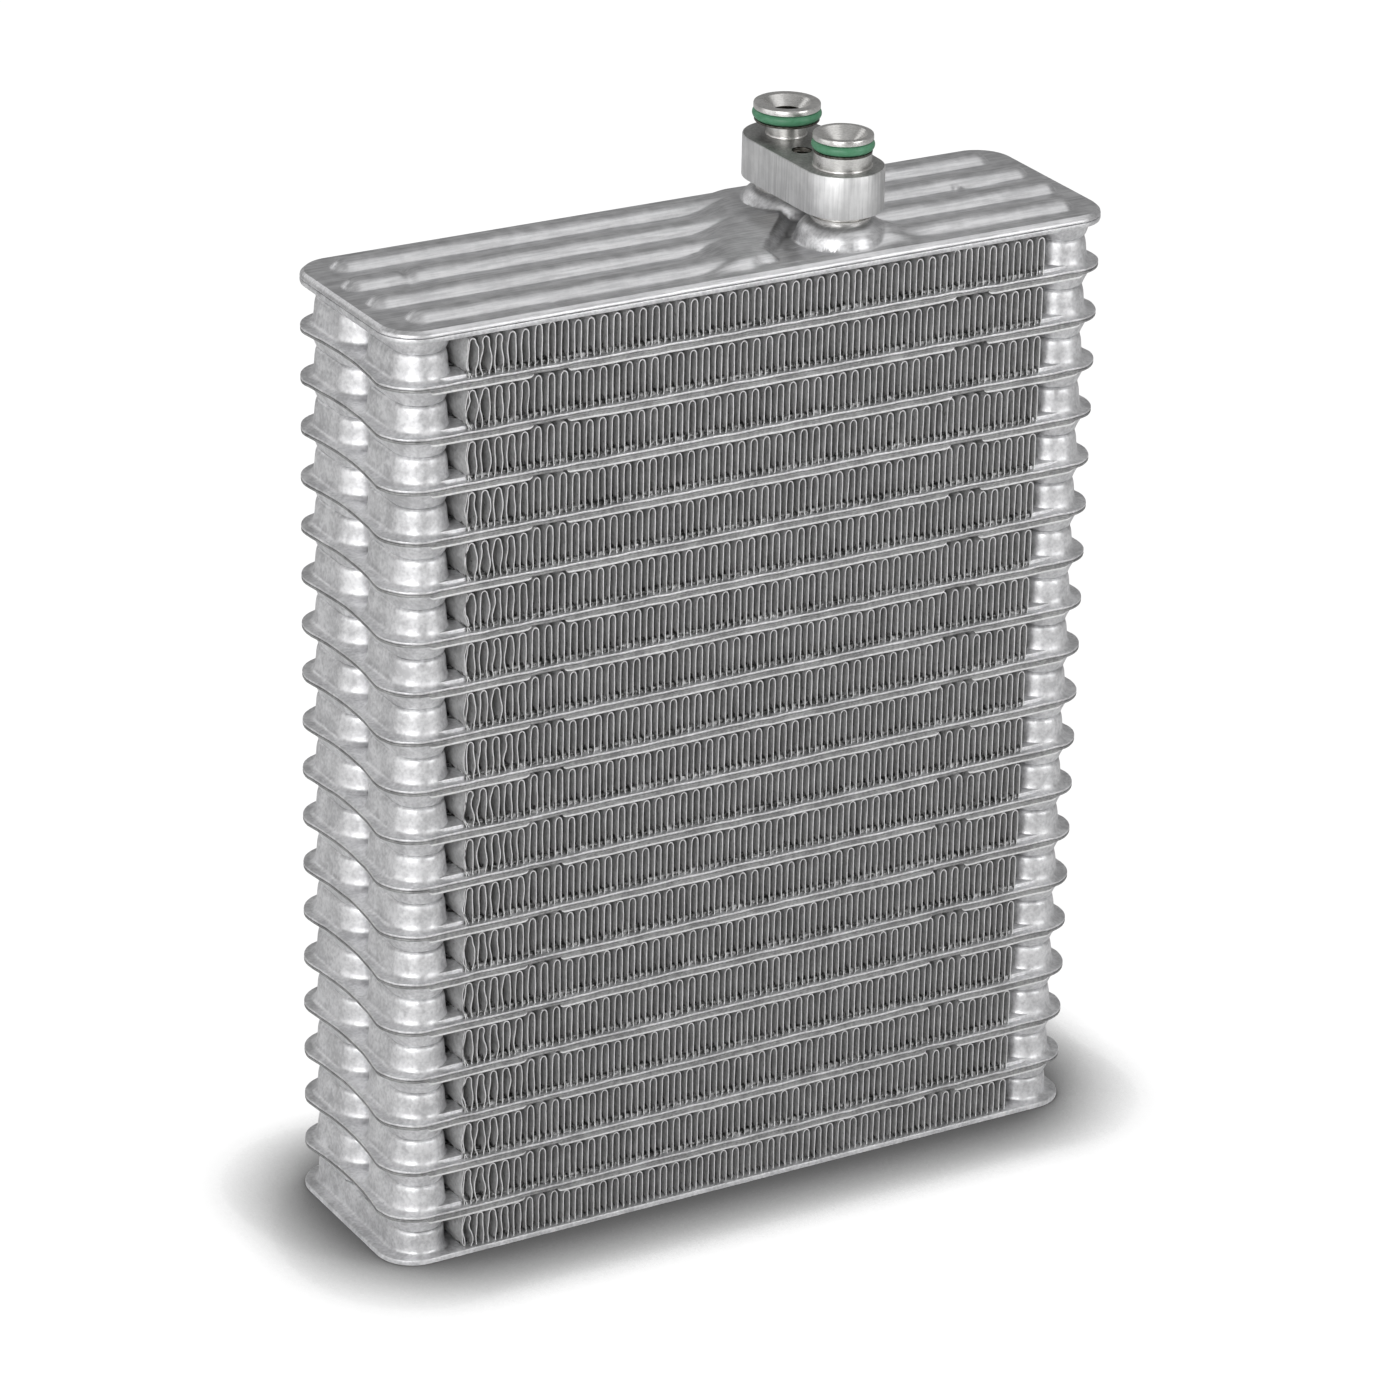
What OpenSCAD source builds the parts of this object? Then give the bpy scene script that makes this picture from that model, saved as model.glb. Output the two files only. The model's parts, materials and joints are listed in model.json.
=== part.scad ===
// Laminated evaporator core for a vehicle air conditioner.
// Stamped plate pairs are stacked with corrugated fins between them. The cups at
// the ends of the plates join up into four upright tanks. A ribbed cover on top
// leads the refrigerant from the tanks to two spigots on one connector block.
// Frame: origin under the middle of the core, +Z up, -Y is the front.

/* [Core] */
// Length of the stamped plates, end to end
core_w = 201; // [196:1:210]
// Depth of the core, front to back
core_d = 58; // [57:0.5:60]
// Height from one flat tube to the next
layer_pitch = 13; // [12.8:0.1:13.6]
// Radius of the plate corners
corner_r = 10; // [8:0.5:12]
// Depth of the shallow dip in each end of a tube plate
end_dip = 1.7; // [0.8:0.1:2.2]

/* [Tube plates] */
// Thickness of one stamped tube plate
sheet_t = 0.7; // [0.5:0.05:0.8]
// Outer thickness of a flat tube
tube_t = 3.2; // [2.8:0.1:3.6]
// Width of the groove that parts the front passage from the back one
groove_w = 2.4; // [2:0.1:3]
// Width of the brazed flange along the long edges
flange_w = 2; // [1.5:0.1:2.4]
// How far the lip on the long edges hangs below the flange
lip_drop = 1; // [0.6:0.1:1.3]
// Distance from the plate's end to the lip
lip_start = 9.3; // [9:0.1:12]
// Distance from the plate's end to the first gap in the lip
notch_start = 36.8; // [30:0.1:44]
// Length of each gap in the lip
notch_w = 9.4; // [6:0.1:12]

/* [Tank cups] */
// Distance from the plate's end to the cup
cup_inset = 3; // [2.6:0.1:3.4]
// Radius of the cup's round ends at the flange
cup_r = 7.75; // [7.2:0.05:8]
// Distance from the plate's long edge to the cup
cup_edge = 1.6; // [1.4:0.1:2]
// Distance between the front cup and the back cup
cup_gap = 2.4; // [2:0.1:3]
// Height of the upper cup above the middle of its tube
cup_rise = 7.7; // [7:0.1:8.2]
// How much narrower the cup is at the brazed seam, on each side
cup_neck = 1.4; // [1.2:0.1:1.6]
// Width of the flat ring where two cups are brazed together
seam_w = 1.6; // [1.4:0.1:1.8]
// Width of the rolled foot of the upper cup
foot_w = 0.75; // [0.5:0.05:0.9]
// Height of the rolled foot
foot_h = 0.9; // [0.6:0.1:1.2]
// Width of the round shoulder at the top of the upper cup
shoulder_w = 0.5; // [0.3:0.05:0.6]
// Height of the round shoulder
shoulder_h = 1.2; // [0.8:0.1:1.6]
// Depth over which the lower cup stays nearly upright below the flange
bowl_side_h = 1.5; // [1:0.1:1.8]
// How much the lower cup narrows over that depth
bowl_side_w = 0.15; // [0.05:0.05:0.3]
// Height of the lower cup's rounding above the seam
bowl_round_h = 1.1; // [0.8:0.1:1.4]

/* [Fins] */
// Distance from the plate's end to the first fin wall
fin_inset = 20; // [19.6:0.1:21]
// Setback of the fins from the long edges
fin_setback = 1.3; // [1.1:0.1:1.8]
// Number of waves in one fin
fin_waves = 46; // [40:1:50]
// Thickness of the fin foil
foil_t = 0.2; // [0.15:0.01:0.25]
// Width of the flat crest of a wave
crest_w = 1.4; // [1.1:0.05:1.5]

/* [End plates] */
// Thickness of the bottom end plate
base_t = 1.5; // [1.2:0.1:1.8]
// Thickness of the plate under the ribbed cover
top_t = 1.4; // [1.2:0.1:1.6]
// Thickness of the ribbed cover
cover_t = 1.4; // [1.2:0.1:1.6]

/* [Cover ribs] */
// Height of the ribs above the cover
rib_h = 2.6; // [2.2:0.1:3]
// Width of a rib where it meets the cover
rib_w = 8; // [7:0.1:9]
// Distance from one rib to the next
rib_pitch = 13.2; // [13:0.1:13.4]
// Distance from the plate's end to the ends of the front and back ribs
rib_inset = 7.5; // [6.5:0.1:9]
// Distance from the plate's end to the ends of the two ribs between them
inner_rib_inset = 4; // [3:0.1:6]
// Distance from the left end to where the left ribs stop inside the manifold
rib_left_end = 98; // [94:0.5:100]
// Start of the ribs on the right of the cover
rib_right_start = 135; // [134:0.5:138]

/* [Ports] */
// Distance from the left end of the plates to both ports
port_x = 129; // [124:0.5:134]
// Distance from the front edge to the small port
port_front = 13.6; // [13:0.1:15]
// Distance between the two ports
port_span = 26.8; // [26:0.1:28]
// Radius of the bell under each port
bell_r = 11.2; // [10.8:0.1:12]
// Height of the bells above the cover
bell_h = 5.9; // [5.7:0.1:7]
// Radius of the bell's round shoulder
bell_round_r = 5.5; // [5.2:0.1:5.6]
// Diameter of the hole through each bell
bell_hole_d = 10.4; // [10:0.1:12]

/* [Manifolds] */
// Distance from the front edge to both manifolds
manifold_edge = 4.8; // [4.4:0.1:5.2]
// Length of the rib ends that run into the left manifold
manifold_overlap = 12; // [8:0.5:14]
// Length over which the left manifold slopes down to the cover
facet_run = 6; // [4:0.5:7]
// Distance from the left end to the front corner of the slanting facet
facet_front_x = 98; // [95:0.5:100]
// Distance from the left end to the bend in the facet
facet_bend_x = 105; // [103:0.5:107]
// Distance from the front edge to the bend in the facet
facet_bend_y = 11.6; // [10:0.1:13]
// Distance from the left end to the facet's back end, under the block
facet_back_x = 120; // [118:0.5:121]
// Distance from the front edge to the facet's back end
facet_back_y = 28.4; // [26:0.1:30]
// How far the left manifold stops short of the ports
manifold_short = 3; // [2:0.1:5]
// Width of the right manifold behind the block
right_manifold_w = 6; // [5:0.5:7]
// Half width of the branch from the right manifold to the small port
branch_half_w = 7; // [6:0.1:8]
// Slope of the right manifold's sides, as a width
right_run = 0.5; // [0.3:0.1:1]

/* [Connector block] */
// Height of the block
block_h = 10.8; // [10:0.1:12]
// Radius of the block's front end
block_front_r = 10.5; // [9.8:0.1:10.8]
// Radius of the block's back end
block_back_r = 10.9; // [10:0.1:11.4]
// Height of the collars between the block and the bells
collar_h = 2.6; // [2:0.1:4]
// Diameter of the collars under the block
collar_d = 15; // [14:0.1:15.4]
// Diameter of the threaded hole's wall, for an M6 thread
screw_d = 5; // [4.8:0.1:5.2]
// Distance of the threaded hole from the small port, towards the back
screw_y = 13.6; // [13.2:0.1:14]
// Offset of the threaded hole from the ports, towards the left
screw_x = 3.4; // [0:0.1:4]

/* [Spigots] */
// Height of the spigots above the block
spigot_h = 8.2; // [7.5:0.1:10]
// Thickness of the rim above each sealing ring
rim_t = 1.5; // [1.2:0.1:2]
// Thickness of the shoulder under each sealing ring
shoulder_t = 0.6; // [0.4:0.1:1]
// How far the shoulder stays inside the rim
shoulder_in = 0.2; // [0.1:0.1:0.3]
// Diameter of the small spigot's rim
small_rim_d = 15; // [14.6:0.1:15.4]
// Diameter of the small spigot's shank
small_shank_d = 14.4; // [13.6:0.1:14.6]
// Diameter of the small spigot's passage
small_bore_d = 5.6; // [5:0.1:6.5]
// Diameter of the large spigot's rim
large_rim_d = 16.7; // [16.2:0.1:17]
// Diameter of the large spigot's shank
large_shank_d = 10; // [9.6:0.1:12]
// Diameter of the large spigot's passage
large_bore_d = 7; // [6.4:0.1:7.4]
// Diameter of the coned mouth of both passages at the rim
mouth_d = 12; // [11:0.1:12.4]

/* [Sealing rings] */
// Thickness of both rings
ring_t = 2.6; // [2.4:0.05:2.8]
// How far a ring stands out past its rim
ring_proud = 0.3; // [0.2:0.05:0.5]
// How far a ring is pressed flat on the floor of its groove
ring_squeeze = 0.12; // [0.08:0.01:0.2]

/* [Hidden] */
$fn = 48;
eps = 0.01;
tube_count = 18;
fin_count = tube_count + 1;
function two_digits(i) = i < 10 ? str("0", i) : str(i);
function tube_name(i) = str("tube_", two_digits(i));
function fin_name(i) = str("fin_", two_digits(i));

left = -core_w / 2;
front = -core_d / 2;
fin_h = layer_pitch - tube_t;
cup_drop = layer_pitch - cup_rise;

// Heights of the layers, from the ground up
lowest_tube_z = base_t + fin_h + tube_t / 2;
highest_tube_z = lowest_tube_z + (tube_count - 1) * layer_pitch;
top_plate_z = highest_tube_z + tube_t / 2 + fin_h;
cover_z = top_plate_z + top_t;
roof_z = cover_z + cover_t;
bell_top_z = roof_z + bell_h;
block_z = bell_top_z + collar_h;
block_top_z = block_z + block_h;
spigot_top_z = block_top_z + spigot_h;
bottom_seam_z = lowest_tube_z - cup_drop;
top_seam_z = highest_tube_z + cup_rise;

// The cups, as the middle line of each oblong
cup_x = left + cup_inset + cup_r;
cup_y_outer = front + cup_edge + cup_r;
cup_y_inner = -cup_gap / 2 - cup_r;
neck_r = cup_r - cup_neck;
hole_r = neck_r - seam_w;

// The flat passages
passage_w = core_d / 2 - flange_w - groove_w / 2;
passage_y = front + flange_w + passage_w / 2;

// The ribs are the tops of round bars that lie below the roof
rib_r = (rib_w * rib_w / 4 + rib_h * rib_h) / (2 * rib_h);
rib_axis_z = roof_z + rib_h - rib_r;
rib_bore_r = rib_r - cover_t;

// The ports
small_y = front + port_front;
large_y = small_y + port_span;
ports_x = left + port_x;
back_limit = -front - manifold_edge;
right_manifold_x = left + rib_right_start + rib_w / 2;
ring_z = spigot_top_z - rim_t - ring_t / 2;

plate_silver = [0.74, 0.75, 0.76];
cup_silver = [0.78, 0.79, 0.80];
fin_silver = [0.62, 0.63, 0.64];
block_silver = [0.70, 0.70, 0.70];
ring_green = [0.29, 0.56, 0.40];

// Outline of every plate: a rectangle with round corners.
module plate_outline() {
    square([core_w - 2 * corner_r, core_d], center = true);
    square([core_w, core_d - 2 * corner_r], center = true);
    for (x = [-1, 1], y = [-1, 1])
        translate([x * (core_w / 2 - corner_r), y * (core_d / 2 - corner_r)])
            circle(corner_r);
}

// Outline of a tube plate, which dips in a little at both ends between its cups.
module tube_outline() {
    half_chord = core_d / 2 - corner_r - 1;
    dip_r = (half_chord * half_chord + end_dip * end_dip) / (2 * end_dip);
    difference() {
        plate_outline();
        for (x = [-1, 1])
            translate([x * (core_w / 2 - end_dip + dip_r), 0])
                circle(dip_r);
    }
}

// A solid with an oblong plan whose wall follows one profile all the way round.
// The profile holds [distance from the middle line, height] pairs, bottom to top.
module oblong(profile, y1, y2) {
    right_half = concat([[0, profile[0][1]]], profile, [[0, profile[len(profile) - 1][1]]]);
    mirrored = [for (i = [len(profile) - 1:-1:0]) [-profile[i][0], profile[i][1]]];
    translate([0, y1, 0])
        rotate([0, 0, 180])
            rotate_extrude(angle = 180)
                polygon(right_half);
    translate([0, y2, 0])
        rotate_extrude(angle = 180)
            polygon(right_half);
    translate([0, y2, 0])
        rotate([90, 0, 0])
            linear_extrude(y2 - y1)
                polygon(concat(profile, mirrored));
}

// Puts its child over the left cups and, turned round, over the right ones.
module both_ends() {
    for (turn = [0, 180])
        rotate([0, 0, turn])
            translate([cup_x, 0, 0])
                children();
}

// Puts an oblong over all four tanks. The front and back ones are alike.
module four_tanks(profile) {
    both_ends() {
        oblong(profile, cup_y_outer, cup_y_inner);
        oblong(profile, -cup_y_inner, -cup_y_outer);
    }
}

// The outer wall of a tube's cups: a tapering bowl below the flange and a
// nearly upright cup with a round shoulder above it.
function cup_wall() = [
    [neck_r, -cup_drop],
    [(neck_r + cup_r) / 2, -cup_drop + bowl_round_h],
    [cup_r - bowl_side_w, -sheet_t - bowl_side_h],
    [cup_r, -sheet_t],
    [cup_r, sheet_t],
    [cup_r - foot_w, sheet_t + foot_h],
    [neck_r + shoulder_w, cup_rise - shoulder_h],
    [neck_r, cup_rise]
];

// The inside of the same cups, with the holes through both seams.
function cup_hollow() = [
    [hole_r, -cup_drop - 1],
    [hole_r, -cup_drop + sheet_t],
    [neck_r - sheet_t, -cup_drop + sheet_t],
    [cup_r - bowl_side_w - sheet_t, -tube_t / 2],
    [cup_r - foot_w - sheet_t, tube_t / 2],
    [neck_r - sheet_t, cup_rise - sheet_t],
    [hole_r, cup_rise - sheet_t],
    [hole_r, cup_rise + 1]
];

// The folded lip under one long edge, in three lengths with gaps between them.
module edge_lip() {
    far = core_w / 2 - lip_start;
    near = core_w / 2 - notch_start;
    for (run = [[-far, -near], [-near + notch_w, near - notch_w], [near, far]])
        translate([run[0], front, -sheet_t - lip_drop])
            cube([run[1] - run[0], sheet_t, lip_drop + sheet_t]);
}

// Two stamped plates brazed face to face, with their passages and cups.
module tube() {
    passage_start = cup_x;
    difference() {
        union() {
            linear_extrude(2 * sheet_t, center = true)
                tube_outline();
            for (side = [-1, 1]) {
                translate([0, side * passage_y, 0])
                    cube([-2 * passage_start, passage_w, tube_t], center = true);
                rotate([0, 0, side < 0 ? 0 : 180])
                    edge_lip();
            }
            four_tanks(cup_wall());
        }
        for (side = [-1, 1])
            translate([0, side * passage_y, 0])
                cube([-2 * passage_start, passage_w - 2 * sheet_t, tube_t - 2 * sheet_t], center = true);
        four_tanks(cup_hollow());
    }
}

// One side of the fin's wave: the corners of a flat-topped wave, moved from the
// middle of the foil by half its thickness. The wave starts and ends with a wall
// that stands on the lower tube.
function wave_side(side) = let(
    period = (core_w - 2 * fin_inset - foil_t) / (fin_waves - 0.5),
    lean = period / 2 - crest_w,
    crest_z = (fin_h - foil_t) / 2,
    half = side * foil_t / 2,
    shift = half * (1 - lean / fin_h)
) [for (i = [0:fin_waves - 1]) each concat(
    i == 0 ? [[-lean / 2 - half, -fin_h / 2]] : [[i * period - lean / 2 - shift, half - crest_z]],
    [
        [i * period + lean / 2 - shift, half + crest_z],
        [i * period + lean / 2 + crest_w + shift, half + crest_z]
    ],
    i == fin_waves - 1
        ? [[i * period + period / 2 + lean / 2 + half, -fin_h / 2]]
        : [[i * period + period / 2 + lean / 2 + shift, half - crest_z]]
)];

// One corrugated fin, as a foil folded to and fro along its whole length.
module fin() {
    upper = wave_side(1);
    lower = wave_side(-1);
    backwards = [for (i = [len(lower) - 1:-1:0]) lower[i]];
    translate([left + fin_inset + foil_t, -front - fin_setback, 0])
        rotate([90, 0, 0])
            linear_extrude(core_d - 2 * fin_setback)
                polygon(concat(upper, backwards));
}

// The end pans close the tanks: one long pan at each end of the plate.
module end_pans(profile) {
    both_ends()
        oblong(profile, cup_y_outer, -cup_y_outer);
}

module bottom_end_plate() {
    color(plate_silver)
        difference() {
            union() {
                linear_extrude(base_t)
                    plate_outline();
                end_pans([
                    [cup_r, 0],
                    [cup_r, base_t],
                    [cup_r - foot_w, base_t + foot_h],
                    [neck_r + shoulder_w, bottom_seam_z - shoulder_h],
                    [neck_r, bottom_seam_z]
                ]);
            }
            end_pans([
                [cup_r - base_t, -1],
                [cup_r - base_t, base_t],
                [neck_r - base_t, bottom_seam_z - base_t]
            ]);
        }
}

module top_tank_plate() {
    color(cup_silver)
        difference() {
            union() {
                translate([0, 0, top_plate_z])
                    linear_extrude(top_t)
                        plate_outline();
                end_pans([
                    [neck_r, top_seam_z],
                    [(neck_r + cup_r) / 2, top_seam_z + bowl_round_h],
                    [cup_r, top_plate_z],
                    [cup_r, cover_z]
                ]);
            }
            end_pans([
                [neck_r - sheet_t, top_seam_z + sheet_t],
                [cup_r - top_t, top_plate_z],
                [cup_r - top_t, cover_z + 1]
            ]);
            four_tanks([
                [hole_r, top_seam_z - 1],
                [hole_r, top_seam_z + 1]
            ]);
        }
}

// A round bar with ball ends along X, from which a rib shows above the roof.
module rib_bar(x1, x2, r) {
    translate([x1 + rib_w / 2, 0, rib_axis_z])
        rotate([0, 90, 0])
            cylinder(h = x2 - x1 - rib_w, r = r);
    for (x = [x1 + rib_w / 2, x2 - rib_w / 2])
        translate([x, 0, rib_axis_z])
            sphere(r);
}

// All the bars of the cover, in two groups of four.
module rib_bars(r) {
    for (i = [-1.5:1:1.5])
        translate([0, i * rib_pitch, 0]) {
            inset = abs(i) > 1 ? rib_inset : inner_rib_inset;
            rib_bar(left + inset, left + rib_left_end, r);
            rib_bar(left + rib_right_start, -left - inset, r);
        }
}

// A raised field with sloping sides, between a foot outline and a top outline.
module field(foot, crown, z1, z2) {
    hull() {
        translate([0, 0, z1])
            linear_extrude(eps)
                polygon(foot);
        translate([0, 0, z2 - eps])
            linear_extrude(eps)
                polygon(crown);
    }
}

// Outline of the left manifold. It gathers the left ribs, and its long facet
// runs slantwise from the front edge to the large port. The run widens the
// outline at the foot, and the wall narrows it for the hollow.
function left_outline(run, wall) = let(
    start = left + rib_left_end - manifold_overlap + wall,
    stop = ports_x - manifold_short + run - wall
) [
    [start, front + manifold_edge + wall],
    [left + facet_front_x + run / 2 - wall, front + manifold_edge + wall],
    [left + facet_bend_x + run - wall, front + facet_bend_y + wall],
    [left + facet_back_x + run - wall, front + facet_back_y + wall],
    [stop, large_y],
    [stop, back_limit - wall],
    [start, back_limit - wall]
];

// Outline of the right manifold along the ribs behind the block.
function right_outline(run, wall) = [
    [right_manifold_x - right_manifold_w + wall - run, front + manifold_edge + wall],
    [right_manifold_x + wall, front + manifold_edge + wall],
    [right_manifold_x + wall, back_limit - wall],
    [right_manifold_x - right_manifold_w + wall - run, back_limit - wall]
];

// Outline of the branch from the right manifold to the small port.
function branch_outline(run, wall) = [
    [ports_x - run + wall, front + manifold_edge + wall],
    [right_manifold_x - 1, front + manifold_edge + wall],
    [right_manifold_x - 1, small_y + branch_half_w + run - wall],
    [ports_x - run + wall, small_y + branch_half_w + run - wall]
];

// The outer form of both manifolds, or their hollow when it has a wall to leave.
module manifolds(wall) {
    foot_z = wall > 0 ? cover_z - 1 : cover_z;
    crown_z = roof_z + rib_h - wall;
    field(left_outline(facet_run, wall), left_outline(0, wall), foot_z, crown_z);
    field(right_outline(right_run, wall), right_outline(0, wall), foot_z, crown_z);
    field(branch_outline(right_run, wall), branch_outline(0, wall), foot_z, crown_z);
}

// The domed bell under one port. Its shoulder is one arc from the collar down to
// the widest radius, and its wall goes straight down from there.
module bell(y) {
    arc_x = bell_r - bell_round_r;
    arc_drop = sqrt(bell_round_r * bell_round_r - pow(collar_d / 2 - arc_x, 2));
    arc_z = cover_t + bell_h - arc_drop;
    translate([ports_x, y, cover_z])
        rotate_extrude() {
            square([bell_r, arc_z]);
            square([collar_d / 2, cover_t + bell_h]);
            intersection() {
                translate([arc_x, arc_z])
                    circle(bell_round_r);
                square([bell_r, cover_t + bell_h]);
            }
        }
}

// Keeps what lies above a height.
module above(z) {
    intersection() {
        children();
        translate([0, 0, z + 50])
            cube([core_w, core_d, 100], center = true);
    }
}

module top_cover() {
    color(plate_silver)
        difference() {
            union() {
                translate([0, 0, cover_z])
                    linear_extrude(cover_t)
                        plate_outline();
                above(cover_z)
                    rib_bars(rib_r);
                manifolds(0);
                bell(small_y);
                bell(large_y);
            }
            above(cover_z - 1)
                rib_bars(rib_bore_r);
            manifolds(cover_t);
            for (y = [small_y, large_y])
                translate([ports_x, y, cover_z - 1])
                    cylinder(h = bell_h + cover_t + 2, d = bell_hole_d);
        }
}

// Outline of the connector block: two round ends of different size with
// straight sides that run into both.
module block_outline() {
    lean = asin((block_back_r - block_front_r) / port_span);
    ends = [[block_front_r, 0], [block_back_r, port_span]];
    for (e = ends)
        translate([0, e[1]])
            circle(e[0]);
    polygon([
        [block_front_r * cos(lean), -block_front_r * sin(lean)],
        [block_back_r * cos(lean), port_span - block_back_r * sin(lean)],
        [-block_back_r * cos(lean), port_span - block_back_r * sin(lean)],
        [-block_front_r * cos(lean), -block_front_r * sin(lean)]
    ]);
}

// One spigot, turned from the block: shank, shoulder, ring groove and rim.
module spigot(rim_d, shank_d) {
    floor_d = rim_d + 2 * ring_proud - 2 * ring_t + 2 * ring_squeeze;
    groove_z = spigot_h - rim_t - ring_t;
    rotate_extrude()
        polygon([
            [0, 0],
            [shank_d / 2, 0],
            [shank_d / 2, groove_z - shoulder_t],
            [rim_d / 2 - shoulder_in, groove_z - shoulder_t],
            [rim_d / 2 - shoulder_in, groove_z],
            [floor_d / 2, groove_z],
            [floor_d / 2, spigot_h - rim_t],
            [rim_d / 2, spigot_h - rim_t],
            [rim_d / 2, spigot_h],
            [0, spigot_h]
        ]);
}

// The passage through one spigot, the block and its collar, with a coned mouth.
module passage(bore_d) {
    reach = collar_h + block_h;
    cone_h = (mouth_d - bore_d) / 2;
    translate([0, 0, -reach - 1])
        cylinder(h = reach + spigot_h + 2, d = bore_d);
    translate([0, 0, spigot_h - cone_h])
        cylinder(h = cone_h + eps, d1 = bore_d, d2 = mouth_d + 2 * eps);
}

module connector_block() {
    color(block_silver)
        translate([ports_x, small_y, block_top_z])
            difference() {
                union() {
                    translate([0, 0, -block_h])
                        linear_extrude(block_h)
                            block_outline();
                    for (y = [0, port_span])
                        translate([0, y, -block_h - collar_h])
                            cylinder(h = collar_h + 1, d = collar_d);
                    spigot(small_rim_d, small_shank_d);
                    translate([0, port_span, 0])
                        spigot(large_rim_d, large_shank_d);
                }
                passage(small_bore_d);
                translate([0, port_span, 0])
                    passage(large_bore_d);
                translate([-screw_x, screw_y, -block_h - 1])
                    cylinder(h = block_h + 2, d = screw_d);
            }
}

// A rubber ring, pressed a little flat where it sits on the groove's floor.
module sealing_ring(rim_d, y) {
    middle_r = rim_d / 2 + ring_proud - ring_t / 2;
    color(ring_green)
        translate([ports_x, y, ring_z])
            rotate_extrude()
                difference() {
                    translate([middle_r, 0])
                        circle(ring_t / 2);
                    translate([0, -ring_t])
                        square([middle_r - ring_t / 2 + ring_squeeze, 2 * ring_t]);
                }
}

for (i = [1:tube_count])
    color(cup_silver)
            translate([0, 0, highest_tube_z - (i - 1) * layer_pitch])
                tube();
for (i = [1:fin_count])
    color(fin_silver)
            translate([0, 0, top_plate_z - fin_h / 2 - (i - 1) * layer_pitch])
                fin();
bottom_end_plate();
top_tank_plate();
top_cover();
connector_block();
sealing_ring(small_rim_d, small_y);  // ring_small
sealing_ring(large_rim_d, large_y);  // ring_large
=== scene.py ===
# %% [markdown]
# # Evaporator core of a vehicle air conditioner
#
# The real object is a stack of stamped aluminium plates and folded fins, brazed
# together in a furnace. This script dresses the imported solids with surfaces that
# are worked out with numpy. Each cell makes one kind of piece or one finish.

import json

import bpy
import numpy as np
from mathutils import Matrix, Vector
from mathutils.geometry import delaunay_2d_cdt

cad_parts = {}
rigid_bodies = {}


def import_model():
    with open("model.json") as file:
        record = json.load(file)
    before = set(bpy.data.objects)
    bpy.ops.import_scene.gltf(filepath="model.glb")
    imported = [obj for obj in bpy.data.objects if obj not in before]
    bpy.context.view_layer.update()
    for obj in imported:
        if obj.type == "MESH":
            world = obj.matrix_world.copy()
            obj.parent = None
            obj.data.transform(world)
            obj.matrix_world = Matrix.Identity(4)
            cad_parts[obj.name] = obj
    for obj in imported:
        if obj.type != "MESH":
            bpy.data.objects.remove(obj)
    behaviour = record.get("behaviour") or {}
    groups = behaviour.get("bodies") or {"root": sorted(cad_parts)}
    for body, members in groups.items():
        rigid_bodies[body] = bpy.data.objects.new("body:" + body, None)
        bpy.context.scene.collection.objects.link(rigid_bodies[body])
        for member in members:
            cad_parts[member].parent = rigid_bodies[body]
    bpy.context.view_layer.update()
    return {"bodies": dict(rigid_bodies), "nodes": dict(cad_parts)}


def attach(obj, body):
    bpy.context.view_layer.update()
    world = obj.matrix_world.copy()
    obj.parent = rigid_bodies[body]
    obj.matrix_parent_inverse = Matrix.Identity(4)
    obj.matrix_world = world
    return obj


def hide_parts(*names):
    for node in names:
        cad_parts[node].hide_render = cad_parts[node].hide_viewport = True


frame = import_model()
BODY = next(iter(frame["bodies"]))
print("nodes:", len(frame["nodes"]), "body:", BODY)

# %% [markdown]
# ## Sizes
#
# All sizes below are millimetres in the frame of the solids: the origin is under
# the middle of the core, +Z is up and -Y is the front. They are the same values
# that drive the solids, so every dressed piece lands on the solid that it stands
# for. Vertices are divided by 1000 at the very end, when a mesh is written.

# %% Sizes of the core
MM = 0.001
CORE_W, CORE_D, PITCH = 201.0, 58.0, 13.0
CORNER_R, END_DIP = 10.0, 1.7
SHEET_T, TUBE_T, GROOVE_W, FLANGE_W = 0.7, 3.2, 2.4, 2.0
CUP_INSET, CUP_R, CUP_EDGE, CUP_GAP = 3.0, 7.75, 1.6, 2.4
CUP_RISE, CUP_DROP, CUP_NECK, SEAM_W = 7.7, 5.3, 1.4, 1.6
TUBES, FINS = 18, 19
BASE_T, TOP_T, COVER_T = 1.5, 1.4, 1.4
FIN_H = PITCH - TUBE_T
LEFT, FRONT = -CORE_W / 2, -CORE_D / 2
LOWEST_TUBE_Z = BASE_T + FIN_H + TUBE_T / 2
HIGHEST_TUBE_Z = LOWEST_TUBE_Z + (TUBES - 1) * PITCH
TOP_PLATE_Z = HIGHEST_TUBE_Z + TUBE_T / 2 + FIN_H
COVER_Z = TOP_PLATE_Z + TOP_T
ROOF_Z = COVER_Z + COVER_T
CUP_X = LEFT + CUP_INSET + CUP_R
CUP_Y_OUTER = FRONT + CUP_EDGE + CUP_R
CUP_Y_INNER = -CUP_GAP / 2 - CUP_R
NECK_R = CUP_R - CUP_NECK
HOLE_R = NECK_R - SEAM_W
print("tubes from z =", LOWEST_TUBE_Z, "to", HIGHEST_TUBE_Z, "roof at", ROOF_Z)

# %% [markdown]
# ## From arrays to pieces
#
# Every surface here is a grid of points with two parameters. A `ring` closes on
# itself in both directions, like the skin of a hose bent round until its ends
# meet. A `strip` closes in one direction and has a cap at either end. A flat plate
# also needs lids: its outline and holes are triangulated once and joined to the
# rim. All are gathered in a `Shell`, which only stacks arrays, and a piece is
# written to Blender in one go. The alternative, bmesh with a loop over the
# vertices, takes minutes for a stack this large.


# %% Shells: stacked arrays of points and faces
def quads_of(index):
    """Quads between the neighbours in a grid of point numbers."""
    corners = [index[:-1, :-1], index[1:, :-1], index[1:, 1:], index[:-1, 1:]]
    return np.stack(corners, -1).reshape(-1, 4)


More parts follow.
